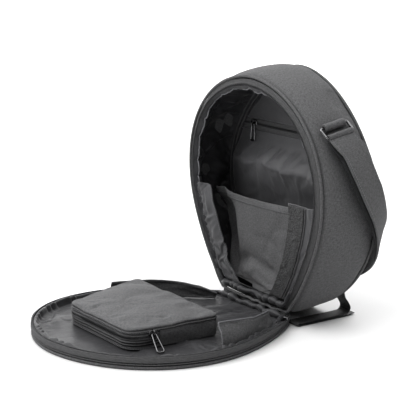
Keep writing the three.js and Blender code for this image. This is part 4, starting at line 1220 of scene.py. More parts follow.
# Place, spread and height of the pocket's round folds
POCKET_FOLDS = (
    (-118, 215, 16, 4.0),
    (-90, 170, 20, -4.0),
    (10, 225, 45, 4.0),
    (-60, 240, 18, 2.5),
    (70, 200, 30, -3.0),
)
POCKET_SEAM_GAP = 2.5
POCKET_THREAD_LIFT = 1.0
POCKET_COIL_LIFT = 1.6
POCKET_COIL_WIDTH = 4.2
POCKET_COIL_MARGIN = 2


def back_sheet(low, high, steps, bulge):
    """Upright cloth across the back between two heights: x spans the outline, y comes forward by a bulge."""
    v = np.linspace(0, 1, steps)[:, None]
    u = np.linspace(0, 1, BACK_COLUMNS)[None]
    z = between((low, high), v)
    x = between(span_of(BACK_ROW, z), u)
    z = np.broadcast_to(z, x.shape)
    return np.stack([x, BACK_DEPTH - bulge(x, z, u, v), z], -1)


def back_line(z, margin, lift):
    """Level line across the back at one height, a margin short of its ends and lifted off the cloth."""
    left, right = span_of(BACK_ROW, np.array([z]))
    x = np.linspace(left[0] + margin, right[0] - margin, BACK_LINE_STEPS)
    return np.stack(np.broadcast_arrays(x, BACK_DEPTH - lift, z), -1)


def back_ripples(x, z, u, v):
    """Lining above the zip: nearly flat, with soft ripples."""
    return ripples(x, z, seed=51, length=60, height=0.5)


def zip_ridges(x, z, u, v):
    """Zip band: two flat tapes that rise a little to a seam along their middle."""
    return 0.9 * bell(z - POCKET_ZIP_MIDDLE, 2.4) + 0.2


def pocket_bulge(x, z, u, v):
    """Pocket panel: a pillow between its seams with a belly, bell folds and drag lines from the zip."""
    folds = bells_at(x, z, POCKET_FOLDS)
    area = ((-150, 140), (70, 262))
    lines = creases(x, z, seed=52, count=26, reach=area, way=(1.35, 0.35), long=34, wide=5, height=1.7)
    hold = np.sin(math.pi * u) * np.sin(math.pi * np.clip(v * 1.02, 0, 1))
    rise = bell(z - POCKET_BELLY_HEIGHT, POCKET_BELLY_SPREAD)
    belly = POCKET_BELLY_DEPTH * rise * np.sin(math.pi * u) ** 0.4
    pillow = POCKET_PILLOW * hold**0.35
    below_zip = smooth_step(POCKET_ZIP_LOW - z, 0, POCKET_EASE)
    return np.maximum(belly + pillow + (folds + lines) * np.sqrt(hold), 0) * below_zip


DIVIDER_LOW = 32
DIVIDER_TOPS = (173, 188)
DIVIDER_LEFT_DEPTHS = (14, 42)
DIVIDER_RIGHT_DEPTH = 6.6
DIVIDER_BELLY = 8
DIVIDER_TUCK = 20
# Place, spread and height of the divider's round folds
DIVIDER_FOLDS = (
    (-24, 62, 13, 6),
    (-48, 74, 12, -5),
    (24, 72, 15, -5),
    (30, 104, 20, 4),
    (-62, 44, 12, 4),
)
DIVIDER_ROWS = 80
DIVIDER_COLUMNS = 90
HEM = 11
HEM_THICKNESS = 1.0
HEM_STITCH_GAP = 1.2


def divider_surface(u, v):
    """Divider: deep and tucked in at the left, forward at the right, bellied, folded, with a doubled hem."""
    near = shell_at(ANGLES, 0.2, 24.5, 0)
    deep = shell_at(ANGLES, 0.4, 20, 0)
    top = between(DIVIDER_TOPS, u)
    z = between((DIVIDER_LOW, top), v)
    edge, right = span_of(near, np.maximum(z, near[:, 2].min() + 1))
    left = between((edge, span_of(deep, z)[0]), v)
    depth = between((between(DIVIDER_LEFT_DEPTHS, v), DIVIDER_RIGHT_DEPTH), np.sin(math.pi / 2 * u))
    belly = DIVIDER_BELLY * np.sin(math.pi * u) * np.sin(math.pi * v)
    x = between((left, right), u)
    soft = ripples(x, z, seed=61, length=70, height=1.2) * np.sin(math.pi * u) * v
    soft = soft - bells_at(x, z, DIVIDER_FOLDS)
    tall = smooth_step(v, 0.1, 0.5) * smooth_step(-v, -1, -0.75)
    tuck = DIVIDER_TUCK * (1 - smooth_step(u, 0.1, 0.26)) * tall
    hem = HEM_THICKNESS * smooth_step(z - top, -HEM - 0.8, -HEM + 0.2)
    return np.stack(np.broadcast_arrays(x, depth + belly + soft + tuck - hem, z), -1)


Strip = namedtuple("Strip", "node side inset heights widths limp seed")
STRIPS = (
    Strip("divider_strip_left", -1, 18.0, (37, 186), (42, 40), 4.6, 62),
    Strip("divider_strip_right", 1, 17.5, (37, 194), (42, 63), 1.8, 63),
)
STRIP_ROWS = 80
STRIP_COLUMNS = 26
STRIP_SEAM_COLUMNS = (2, 24)
STRIP_SEAM_ROW = 3
STRIP_DEPTH = -0.6
STRIP_REACH = (50, 155)
STRIP_DEEPEST_CRUMPLE = -1.5
HOOK_WIDTHS = (30, 36)
HOOK_EDGE = 0.97
HOOK_LIFT = 1.5
HOOK_ROUGHNESS = 0.5
HOOK_THICKNESS = 1.2
RIDGE_GAP = 3
RIDGE_LIFT = 0.8
RIDGE_RADIUS = 1.1


def strip_surface(strip, u, v):
    """Side strip of the divider: from the mouth's lining inwards, its width changing upwards, crumpled."""
    row = shell_at(ANGLES, 0, strip.inset, 0)
    z = between(strip.heights, v)
    left, right = span_of(row, np.maximum(z, row[:, 2].min() + 1))
    edge = right if strip.side > 0 else left
    x = edge - strip.side * between(strip.widths, v) * u
    area = (sorted(strip.side * reach for reach in STRIP_REACH), strip.heights)
    crumple = creases(
        x, z, seed=strip.seed, count=26, reach=area, way=(0.9, 0.6), long=13, wide=3.4, height=strip.limp
    )
    depth = STRIP_DEPTH - np.maximum(crumple, STRIP_DEEPEST_CRUMPLE) * smooth_step(u, 0.02, 0.25)
    return np.stack(np.broadcast_arrays(x, depth, z), -1)


class SADDLEBAG_OT_back_pocket(bpy.types.Operator):
    """Make the zip pocket on the back of the compartment"""

    bl_idname = "saddlebag.back_pocket"
    bl_label = "Back pocket"

    def execute(self, context):
        # The back's cloth above and below the zip is drawn in the paler pocket colour: painted light
        taffeta = finish_named("pocket_nylon_painted_light")
        tape = finish_named("knitted_zip_tape")
        thickness = sizes()["cloth"]
        upper = back_sheet(POCKET_ZIP_HIGH, BACK_TOP, 24, back_ripples)
        band = back_sheet(POCKET_ZIP_LOW, POCKET_ZIP_HIGH, 18, zip_ridges)
        pocket = back_sheet(POCKET_LOW, POCKET_ZIP_LOW, 90, pocket_bulge)
        for name, surface, finish, slot, node in (
            ("back_lining_cloth", upper, taffeta, "lining_fabric", "back_lining_top"),
            ("pocket_zip_cloth", band, tape, "zip_tape", "pocket_zip"),
            ("pocket_panel_cloth", pocket, taffeta, "lining_fabric", "pocket_panel"),
        ):
            piece = add_grid(name, surface, finish)
            if node == "pocket_panel":
                held = np.ones(surface.shape[:2], bool)
                held[1:-1, 1:-1] = surface[1:-1, 1:-1, 2] > POCKET_ZIP_LOW - POCKET_HELD_DROP
                settle(piece, held, slack=0.03, out=7, back=3, frames=12)
            sheet_of(piece, "stretched", "shell_lining_cloth")
            dress(thicken(piece, thickness), slot, node)
        heights = (POCKET_ZIP_LOW - POCKET_SEAM_GAP, POCKET_ZIP_HIGH + POCKET_SEAM_GAP)
        seams = [(back_line(z, 0, POCKET_THREAD_LIFT), -BACKWARD, False) for z in heights]
        dress(stitches("pocket_stitches", seams, finish_named("thread_and_painted_highlight")), "lining_fabric")
        line = back_line(POCKET_ZIP_MIDDLE, POCKET_COIL_MARGIN, POCKET_COIL_LIFT)
        nylon = finish_named("nylon_coil")
        coil = zip_coil("pocket_zip_coil", line, -BACKWARD, nylon, width=POCKET_COIL_WIDTH)
        dress(coil, "zip_tape")
        return {"FINISHED"}


class SADDLEBAG_OT_divider(bpy.types.Operator):
    """Make the divider with its hem, its two side strips and the hook band"""

    bl_idname = "saddlebag.divider"
    bl_label = "Divider"

    def execute(self, context):
        cloth = finish_named("woven_polyester")
        thickness = sizes()["cloth"]
        u = np.linspace(0, 1, DIVIDER_COLUMNS)[None]
        v = np.linspace(0, 1, DIVIDER_ROWS)[:, None]
        surface = divider_surface(u, v)
        panel = add_grid("divider_cloth", surface, cloth)
        settle(panel, (u < 0.02) | (u > 0.98) | (v < 0.04), slack=0.02, out=4, back=4)
        hem_share = (HEM - HEM_STITCH_GAP) / (DIVIDER_TOPS[0] - DIVIDER_LOW)
        hem_row = DIVIDER_ROWS - round(DIVIDER_ROWS * hem_share)
        lines = [surface_of(panel, surface.shape)[hem_row, 1:-1]]
        sheet_of(panel, "stretched", "shell_lining_cloth")
        dress(thicken(panel, thickness), "outer_fabric", "divider_panel")
        across = np.linspace(0, 1, STRIP_COLUMNS)[None]
        along = np.linspace(0, 1, STRIP_ROWS)[:, None]
        taffeta = finish_named("polyester_taffeta")
        for strip in STRIPS:
            surface = strip_surface(strip, across, along)
            piece = add_grid(strip.node + "_cloth", surface, taffeta, flip=strip.side > 0)
            if strip.side < 0:
                settle(piece, (across < 0.06) | (along < 0.04), slack=0.05, out=6, back=2)
                surface = surface_of(piece, surface.shape)
            sheet_of(piece, "hung", "shell_lining_cloth")
            dress(thicken(piece, thickness), "outer_fabric", strip.node)
            lines += [surface[2:-2, column] for column in STRIP_SEAM_COLUMNS]
            lines.append(surface[STRIP_SEAM_ROW, 1:-1])
        strip = STRIPS[1]
        along = np.linspace(0.02, 0.985, 110)[:, None]
        hook = between(HOOK_WIDTHS, along)
        whole = between(strip.widths, along)
        across = HOOK_EDGE - hook / whole * np.linspace(1, 0, 30)[None]
        surface = strip_surface(strip, across, along)
        rng = np.random.default_rng(64)
        surface[..., 1] -= HOOK_LIFT + HOOK_ROUGHNESS * rng.random(surface.shape[:2])
        band = add_grid("hook_band", surface, finish_named("nylon_hook_band"), flip=True)
        dress(thicken(band, HOOK_THICKNESS), "outer_fabric")
        beside = HOOK_EDGE - (hook + RIDGE_GAP) / whole
        ridge = strip_surface(strip, beside, along)[:, 0] - RIDGE_LIFT * BACKWARD
        dress(add_tube("strip_ridge", ridge, circle(RIDGE_RADIUS, 8), UP, cloth), "outer_fabric")
        seams = [(line - THREAD_LIFT * BACKWARD, -BACKWARD, False) for line in lines]
        dress(stitches("divider_stitches", seams, finish_named("thread_and_painted_highlight")), "outer_fabric")
        return {"FINISHED"}


# Pouch on the lid

# Place and radius of the pouch's corners, seen from above
POUCH_CORNERS = ((-135, -133, 10), (-80, -288, 26), (94, -284, 26), (98, -133, 10))
POUCH_ARC_STEPS = 12
POUCH_STEP = 2.0
POUCH_FLOOR = 10.7
POUCH_TOP = 40
POUCH_CROWN = 5
POUCH_CORE = np.array([0.0, -215.0, 0.0])
POUCH_WALL_ROWS = 40
POUCH_WALL_LAP = 0.6
POUCH_BELLY = 1.5
POUCH_ZIP_SHARES = (0.8, 0.22)
POUCH_ZIP_LINES = (15.5, 20.0, 24.5, 33.5)
POUCH_LINE_DEPTH = 1.9
POUCH_LINE_SPREAD = 0.8
POUCH_COIL = 29
POUCH_COIL_SINK = 1.0
POUCH_COIL_SPREAD = 1.8
POUCH_COIL_LIFT = 1.4
POUCH_TOOTH = (4.4, 1.8)
POUCH_PIPING_RADIUS = 1.35
POUCH_PIPING_LIFT = 0.9
POUCH_PIPING_DROP = 2.6
POUCH_PUCKER_SHARE = 0.6
POUCH_STITCH_HEIGHTS = (13.2, 36.0)
POUCH_STITCH_LIFT = 2.0
# How far out and up the top's rolled lip lies
POUCH_LIP = ((-1.8, -1.0), (0.4, -0.8), (1.4, 0.4), (1.3, 1.8), (0.2, 3.0), (-1.8, 3.7))
POUCH_TOP_SHARES = np.linspace(0.965, 0.04, 42)
POUCH_TOP_RISE = 3.9
POUCH_HELD_SHARE = 0.985
# Place, spread and height of the top's dimples
POUCH_DIMPLES = (
    (-26, -270, 5.5, -3.4),
    (74, -213, 5.5, -3.4),
    (84, -160, 12, -1.6),
    (-112, -150, 12, -1.6),
)


def pouch_outline():
    """Pouch outline from above: straight sides and arcs at its corners, evenly stepped; and two zip ends."""
    corners = np.array(POUCH_CORNERS, float)
    here, radius = corners[:, :2], corners[:, 2]
    before = unit(np.roll(here, 1, 0) - here)
    after = unit(np.roll(here, -1, 0) - here)
    half = np.arccos((before * after).sum(1)) / 2
    centre = here + unit(before + after) * (radius / np.sin(half))[:, None]
    start = np.arctan2(before[:, 0], -before[:, 1])
    sweep = math.pi - 2 * half
    turn = start[:, None] + sweep[:, None] * np.linspace(0, 1, POUCH_ARC_STEPS)[None]
    arcs = centre[:, None] + radius[:, None, None] * np.stack([np.cos(turn), np.sin(turn)], -1)
    points = np.concatenate([arcs, np.zeros(arcs.shape[:2] + (1,))], -1)
    ends = [
        between((points[0, -1], points[1, 0]), POUCH_ZIP_SHARES[0]),
        between((points[2, -1], points[3, 0]), POUCH_ZIP_SHARES[1]),
    ]
    return resample(points.reshape(-1, 3), POUCH_STEP, closed=True), ends


def pouch_outward(outline):
    """Unit vectors out of the pouch's outline."""
    tangent = unit(np.roll(outline, -1, 0) - np.roll(outline, 1, 0))
    return np.cross(tangent, UP)


def pouch_wall(path, out, along, zipped):
    """Upright wall of the pouch: bellied by a sine, softly rippled, grooved along the zip's lines."""
    v = np.linspace(0, 1, POUCH_WALL_ROWS)[:, None]
    z = between((POUCH_FLOOR, POUCH_TOP + POUCH_WALL_LAP), v)
    swell = np.sin(math.pi * v)
    belly = POUCH_BELLY * swell + ripples(along[None], z, seed=71, length=46, height=0.7) * swell
    if zipped:
        grooves = sum(bell(z - line, POUCH_LINE_SPREAD) for line in POUCH_ZIP_LINES)
        channel = POUCH_COIL_SINK * bell(z - POUCH_COIL, POUCH_COIL_SPREAD)
        belly = belly - POUCH_LINE_DEPTH * grooves - channel
    grid = path[None] + out[None] * belly[..., None]
    grid[..., 2] = z
    return grid


def pouch_top_surface(outline, out, puckers):
    """Pouch top: a rolled lip round its edge, a crown that rises as a parabola, creases and dimples."""
    lip = np.stack([outline + out * aside + UP * (POUCH_TOP + rise) for aside, rise in POUCH_LIP])
    lip[..., 2] += puckers
    inner = rings_to(POUCH_CORE, outline, POUCH_TOP_SHARES)
    share = POUCH_TOP_SHARES[:, None]
    inner[..., 2] = POUCH_TOP + POUCH_TOP_RISE + POUCH_CROWN * (1 - share**2) + puckers * share**12
    grid = np.concatenate([lip, inner])
    share = np.concatenate([np.ones((len(lip), 1)), share])
    x, y = grid[..., 0], grid[..., 1]
    area = ((-120, 90), (-280, -140))
    drag = creases(x, y, seed=73, count=22, reach=area, way=(0.6, 1.2), long=20, wide=5, height=0.5)
    relief = drag + bells_at(x, y, POUCH_DIMPLES) + ripples(x, y, seed=74, length=70, height=0.6)
    grid[..., 2] += relief * (1 - share**8)
    return grid, np.broadcast_to(share > POUCH_HELD_SHARE, x.shape)


class SADDLEBAG_OT_pouch(bpy.types.Operator):
    """Make the pouch on the lid: crowned top, piped edge, zip band and gusset"""

    bl_idname = "saddlebag.pouch"
    bl_label = "Pouch"

    def execute(self, context):
        cloth = finish_named("woven_polyester")
        tape = finish_named("knitted_zip_tape")
        size = sizes()
        outline, ends = pouch_outline()
        out = pouch_outward(outline)
        along = arc_lengths(outline, closed=True)[:-1]
        count = len(outline)
        first, last = (int(np.argmin(np.linalg.norm(outline - end, axis=1))) for end in ends)
        zipped = np.arange(first, last + 1)
        plain = np.arange(last, count + first + 1) % count
        for name, places, finish, slot, node in (
            ("pouch_zip_cloth", zipped, tape, "zip_tape", "pouch_zip"),
            ("pouch_gusset_cloth", plain, cloth, "outer_fabric", "pouch_gusset"),
        ):
            grid = pouch_wall(outline[places], out[places], along[places], slot == "zip_tape")
            wall = add_grid(name, grid, finish)
            sheet_of(wall, "stretched", "lid_lining_cloth")
            dress(thicken(wall, size["cloth"]), slot, node)
        inside = slice(first + 2, last - 1)
        path = outline[inside] + out[inside] * POUCH_COIL_LIFT + UP * POUCH_COIL
        line = resample(path, size["coil_pitch"])
        place = np.linspace(0, len(path) - 1, len(line)).round().astype(int)
        tangent = unit(np.gradient(line, axis=0))
        upright = np.broadcast_to(UP, line.shape)
        shape = bead(POUCH_TOOTH[0], TOOTH_SHARE * size["coil_pitch"], POUCH_TOOTH[1])
        nylon = finish_named("nylon_coil")
        coil = scatter("pouch_zip_coil", shape, line, upright, tangent, out[inside][place], nylon)
        dress(coil, "zip_tape")
        puckers = ripples(along, np.zeros_like(along), seed=72, length=52, height=0.8)
        edge = outline + out * POUCH_PIPING_LIFT + UP * (POUCH_TOP - POUCH_PIPING_DROP)
        edge[:, 2] += POUCH_PUCKER_SHARE * puckers
        round_cord = circle(POUCH_PIPING_RADIUS, PIPING_SIDES)
        piping = add_tube("pouch_piping_cord", edge, round_cord, UP, cloth, closed=True)
        dress(piping, "outer_fabric", "pouch_piping")
        grid, held = pouch_top_surface(outline, out, puckers)
        tips = (None, POUCH_CORE + UP * grid[-1, :, 2].mean())
        top = add_grid("pouch_top_cloth", grid, cloth, wrap_columns=True, poles=tips, flat=(0, 1))
        settle(top, held, slack=0.008, out=5, back=3, pressure=2.0, frames=12)
        dress(thicken(top, size["cloth"]), "outer_fabric", "pouch_top")
        seamed = slice(first + 2, last - 2)
        seams = []
        for z in POUCH_STITCH_HEIGHTS:
            line = outline[seamed] + out[seamed] * POUCH_STITCH_LIFT + UP * z
            seams.append((line, UP, False))
        dress(stitches("pouch_stitches", seams, finish_named("thread_and_painted_highlight")), "zip_tape")
        return {"FINISHED"}


# Flaps and hinge

Flap = namedtuple("Flap", "node side ends feet tops taper lean shift seed")
FLAPS = (
    Flap("lid_flap_near", 1, (-168, -38), (12.4, 12.4), (50, 30), 1, 12, 0, 81),
    Flap("lid_flap_far", -1, (-168, -29), (12.4, 10.4), (39.5, 22), 6, 6, 27, 82),
)
FLAP_INSET = 17
FLAP_ROWS = 70
FLAP_COLUMNS = 36
FLAP_HELD_SHARE = 0.08
FLAP_HEM = 0.8
FLAP_HEM_HIGHLIGHT_RADIUS = 0.9
FLAP_HEM_COLUMN = 29
FLAP_END_ROW = 4
FLAP_THREAD_LIFT = 0.6
FLAP_THREAD_TILT = 0.2
HINGE_ENDS = (-76, 90)
HINGE_ROWS = 180
HINGE_COLUMNS = 16
HINGE_FRONT = -0.9
HINGE_LIFT = 0.2
HINGE_GATHERS = (2.2, 0.8)
ROLL_OVERRUNS = (0.12, 0.16)
ROLL_STEPS = 200
ROLL_SIDES = 16


def lid_side(side, inset, y):
    """Where the lid's outline, shrunk by an inset, lies on one side at given places along Y."""
    row = lid_at(ANGLES, inset, 0)[:, [0, 2, 1]]
    row[:, 2] = -row[:, 2]
    left, right = span_of(row, -y)
    return right if side > 0 else left


def flap_surface(flap, u, v):
    """Side flap: stands inside the rim, leans in towards its top edge, which falls by a power, and waves."""
    y = between(flap.ends, v)
    foot = lid_side(flap.side, FLAP_INSET, y) - flap.side * flap.shift * v
    wave = 2 * np.sin(3 * math.pi * v) * u + ripples(y, 60 * u, flap.seed, length=40, height=1.0) * u
    hem = FLAP_HEM * smooth_step(u, 0.82, 0.86)
    x = foot - flap.side * (flap.lean * u + wave + hem)
    top = between(flap.tops, v**flap.taper)
    z = between((between(flap.feet, v), top), u) + 1.0 * np.sin(2 * math.pi * v) * u
    return np.stack(np.broadcast_arrays(x, y, z), -1)


def hinge_surface():
    """Cloth hinge: a narrow upright strip from the lid's rim to the shell's mouth, gathered along X."""
    v = np.linspace(0, 1, HINGE_ROWS)[:, None]
    u = np.linspace(0, 1, HINGE_COLUMNS)[None]
    x = between(HINGE_ENDS, v)
    gather = (scallops(x[:, 0], seed=83, length=21)[:, None] - 0.5) * np.sin(math.pi * u)
    y = HINGE_FRONT - HINGE_GATHERS[0] * gather
    level = LID_RIM_AT_HINGE + HINGE_LIFT + (HINGE_HEIGHT - LID_RIM_AT_HINGE) * u
    return np.stack(np.broadcast_arrays(x, y, level + HINGE_GATHERS[1] * gather), -1)


class SADDLEBAG_OT_flaps(bpy.types.Operator):
    """Make the lid's two side flaps and the gathered cloth hinge"""

    bl_idname = "saddlebag.flaps"
    bl_label = "Flaps and hinge"

    def execute(self, context):
        cloth = finish_named("woven_polyester")
        thread = finish_named("thread_and_painted_highlight")
        thickness = sizes()["cloth"]
        u = np.linspace(0, 1, FLAP_COLUMNS)[None]
        v = np.linspace(0, 1, FLAP_ROWS)[:, None]
        seams = []
        for flap in FLAPS:
            surface = flap_surface(flap, u, v)
            piece = add_grid(flap.node + "_cloth", surface, cloth, flip=flap.side > 0)
            held = np.broadcast_to(u < FLAP_HELD_SHARE, surface.shape[:2])
            settle(piece, held, slack=0.01, out=1.6, back=1.6)
            surface = surface_of(piece, surface.shape)
            sheet_of(piece, "hung", "lid_lining_cloth")
            dress(thicken(piece, thickness), "outer_fabric", flap.node)
            # Pale tubes along each flap's end and top edge: painted highlights on the hems, in the thread
            # colour
            for part, line in (("end", surface[0]), ("top", surface[:, -1])):
                name = f"{flap.node}_{part}_hem"
                hem = add_tube(name, line, circle(FLAP_HEM_HIGHLIGHT_RADIUS, 8), UP + 0.2 * BACKWARD, thread)
                dress(hem, "outer_fabric")
            lift = -flap.side * FLAP_THREAD_LIFT * SIDEWAYS
            facing = FLAP_THREAD_TILT * UP - flap.side * SIDEWAYS
            seams.append((surface[1:-1, FLAP_HEM_COLUMN] + lift, facing, False))
            seams.append((surface[FLAP_END_ROW, 2:-2] + lift, facing, False))
        dress(stitches("flap_stitches", seams, thread), "outer_fabric")
        strip = add_grid("hinge_strip_cloth", hinge_surface(), cloth, flip=True)
        dress(thicken(strip, thickness), "outer_fabric", "hinge_strip")
        satin = finish_named("satin_nylon")
        turn = np.linspace(-CORNER - ROLL_OVERRUNS[0], CORNER + ROLL_OVERRUNS[1], ROLL_STEPS)
        fade = np.sin(math.pi * np.linspace(0.02, 0.98, ROLL_STEPS)) ** 0.25
        for name, path, seed, radius in (
            ("lid_hinge_roll", lid_at(turn, 11.5, 14.5), 84, 6.2),
            ("shell_hinge_roll", shell_at(turn, 0, 14.0, -5.0), 85, 6.0),
        ):
            along = arc_lengths(path)
            level = np.zeros_like(along)
            thick = (radius * (0.58 + 0.58 * scallops(along, seed, length=22)) * fade)[:, None]
            path = path + UP * ripples(along, level, seed + 10, length=34, height=1.0)[:, None]
            path = path - BACKWARD * ripples(along, level, seed + 20, length=30, height=1.4)[:, None]
            _, across, up = frames_along(path, UP)
            grid = swept(path, across * thick, up * thick, circle(1.0, ROLL_SIDES))
            roll = add_grid(name, grid, satin, wrap_columns=True, poles=(path[0], path[-1]))
            dress(outward(roll), "lining_fabric")
        return {"FINISHED"}


# Handle

RING_ANGLE = math.radians(131)
RING_LEVEL = 0.42
RING_WIRE = 2.2
RING_LENGTH = 58
RING_BREADTH = 22
RING_LIFT = 3
RING_CORNER = 3.4
TAB_RADIUS = 6
TAB_LENGTH = 40
TAB_GAP = 1.0
FOLD_RADIUS = 4.6
FOLD_LENGTH = 48
ROLL_HOLE_GAP = 0.3
HANDLE_WIDTH = 50
HANDLE_THICKNESS = 3
HANDLE_CUP = 0.5
HANDLE_STEPS = 14
HANDLE_STITCH = 21.5
HANDLE_THREAD_LIFT = 0.1
# Near-black band under the strap, reaching out past its near edge: painted shadow on the wall
SHADOW_BAND_WIDTH = 42
SHADOW_BAND_THICKNESS = 5.5
SHADOW_BAND_OVERHANG = 4
SHADOW_BAND_STATIONS = (4, 98)
# Place of the band's middle at each station, and the band's turn in degrees
HANDLE_PATH = (
    (181, 53, 281, 0),
    (194, 58, 257, 6),
    (204, 70, 221, 12),
    (202, 87, 185, 27),
    (190, 103, 155, 38),
    (167, 113, 121, 56),
    (140, 108, 101, 76),
    (114, 99.6, 90, 90),
    (96, 98.5, 85, 90),
)


def wall_point(angle, level):
    """One point of the shell's wall."""
    return shell_at(np.array(angle), np.array(level), np.array(0.0), level * SHELL_DEPTH)


def ring_seat():
    """Ring's place: its long wires follow the wall's slope in depth, and it leans a little off the wall."""
    anchor = wall_point(RING_ANGLE, RING_LEVEL)
    axis = unit(wall_point(RING_ANGLE, RING_LEVEL + 0.1) - wall_point(RING_ANGLE, RING_LEVEL - 0.1))
    down = wall_point(RING_ANGLE - 0.02, RING_LEVEL) - anchor
    down = unit(down - axis * (down @ axis))
    out = np.cross(down, axis)
    upper = anchor + out * (TAB_RADIUS + TAB_GAP)
    lean = unit(down * RING_BREADTH + out * RING_LIFT)
    lower = upper + lean * (RING_BREADTH - 2 * RING_WIRE)
    return upper, lower, lean, axis


def wire_loop(middle, across, down, widths, length, radius):
    """Wire bent to a frame with round corners, as wide at its head and foot as the two widths say."""
    turn = np.linspace(0, math.pi / 2, 9)
    signs = np.array([(1, 1), (-1, 1), (-1, -1), (1, -1)], float)
    angle = turn[None] + np.arange(4)[:, None] * math.pi / 2
    half = np.where(signs[:, 1] > 0, widths[1], widths[0])[:, None] / 2
    x = signs[:, :1] * (half - radius) + radius * np.cos(angle)
    y = signs[:, 1:] * (length / 2 - radius) + radius * np.sin(angle)
    flat = np.stack([x, y], -1).reshape(-1, 2)
    path = middle + flat[:, :1] * across + flat[:, 1:] * down
    return resample(path, 0.6, closed=True)


def strap_path():
    """Handle's middle line and the vectors along and across it: from the ring round to the back panel."""
    _, lower, lean, axis = ring_seat()
    start = lower + lean * (FOLD_RADIUS + 0.4)
    rows = np.array(HANDLE_PATH, float)
    stations = np.concatenate([[start, start + 10 * lean], rows[:, :3]])
    turns = np.concatenate([[0, 0], rows[:, 3]])
    path = spline(stations, HANDLE_STEPS)
    place = np.arange(len(path)) / HANDLE_STEPS
    turn = np.radians(np.interp(place, np.arange(len(turns)), turns))[:, None]
    along = unit(np.gradient(path, axis=0))
    aside = unit(np.cross(along, BACKWARD))
    share = np.minimum(place / 4, 1)[:, None]
    level = axis * (1 - share) + BACKWARD * share
    across = level * np.cos(turn) - aside * np.sin(turn)
    across = unit(across - along * (across * along).sum(1, keepdims=True))
    return path, along, across


class SADDLEBAG_OT_handle(bpy.types.Operator):
    """Make the carrying handle: rolled tab, metal ring, fold, band, a near-black band of painted shadow under
    it, and edge stitching
    """

    bl_idname = "saddlebag.handle"
    bl_label = "Handle"

    def execute(self, context):
        cloth = finish_named("woven_polyester")
        metal = finish_named("black_nickel")
        upper, lower, lean, axis = ring_seat()
        normal = np.cross(axis, lean)
        length = RING_LENGTH - 2 * RING_WIRE
        breadth = RING_BREADTH - 2 * RING_WIRE
        loop = wire_loop((upper + lower) / 2, axis, lean, (length, length), breadth, RING_CORNER)
        ring = add_tube("handle_ring_wire", loop, circle(RING_WIRE, 14), normal, metal, closed=True)
        dress(ring, "dark_metal", "handle_ring")
        for name, seat, reach, radius, node in (
            ("ring_tab_roll", upper, TAB_LENGTH, TAB_RADIUS, "ring_tab"),
            ("handle_fold_roll", lower, FOLD_LENGTH, FOLD_RADIUS, "handle_fold"),
        ):
            place = np.linspace(-0.5, 0.5, 60) * reach
            path = seat + axis * place[:, None]
            soft = ripples(place, np.zeros_like(place), seed=91, length=14, height=0.25)
            across = np.broadcast_to(lean, path.shape)
            up = np.broadcast_to(normal, path.shape)
            swell = (radius + soft)[:, None]
            outside = swept(path, across * swell, up * swell, circle(1.0, 28))
            hole = swept(path, across, up, circle(RING_WIRE + ROLL_HOLE_GAP, 28))
            grid = np.concatenate([outside, hole[::-1]])
            roll = add_grid(name, grid, cloth, wrap_rows=True, wrap_columns=True)
            dress(outward(roll), "outer_fabric", node)
        path, along, across = strap_path()
        up = np.cross(across, along)
        profile = rounded_bar(HANDLE_WIDTH, HANDLE_THICKNESS, power=9, sides=48)
        grid = swept(path, across, up, profile)
        cup = HANDLE_CUP * np.cos(np.linspace(0, 3 * TURN, len(path)))
        grid += up[:, None] * (cup[:, None] * (profile[:, 0] / (HANDLE_WIDTH / 2)) ** 2)[..., None]
        strap = add_grid("handle_strap_cloth", grid, cloth, wrap_columns=True, poles=(path[0], path[-1]))
        dress(outward(strap), "outer_fabric", "handle_strap")
        # Painted shadow: a near-black band laid under the strap, thickest in its middle, showing past the
        # strap's near edge
        part = slice(*SHADOW_BAND_STATIONS)
        place = np.linspace(0, 1, part.stop - part.start)[:, None]
        depth = SHADOW_BAND_THICKNESS * np.sqrt(np.maximum(np.sin(math.pi * place), 0.04))
        shift = (HANDLE_WIDTH - SHADOW_BAND_WIDTH) / 2 + SHADOW_BAND_OVERHANG
        line = path[part] + up[part] * (HANDLE_THICKNESS + depth) / 2 - across[part] * shift
        grid = swept(line, across[part], up[part] * depth, rounded_bar(SHADOW_BAND_WIDTH, 1.0, sides=32))
        mesh = finish_named("painted_shadow_band")
        shadow_band = add_grid("handle_shadow_band", grid, mesh, wrap_columns=True, poles=(line[0], line[-1]))
        dress(outward(shadow_band), "webbing")
        seams = []
        for edge in (-HANDLE_STITCH, HANDLE_STITCH):
            for face in (1, -1):
                line = path + across * edge + up * face * (HANDLE_THICKNESS / 2 + HANDLE_THREAD_LIFT)
                seams.append((line[4:-2], up[4:-2].mean(0) * face, False))
        dress(stitches("handle_stitches", seams, finish_named("thread_and_painted_highlight")), "outer_fabric")
        return {"FINISHED"}


# Mounting webbing

WEBBING_X = 100
WEBBING_WIDTH = 25
WEBBING_THICKNESS = 1.6
WEBBING_STEPS = 14
# Y and height along the webbing, from the back panel down, under the shell and back out
WEBBING_PATH = (
    (97.8, 58),
    (98, 46),
    (101, 32),
    (108, 22),
    (112, 13),
    (108, 6),
    (96, 4.6),
    (60, 4.6),
    (20, 4.6),
    (9, 4.4),
    (6.8, 2.8),
    (9, 1.2),
    (20, 1.1),
    (70, 1.1),
    (102, 1.2),
    (121, 3.2),
)


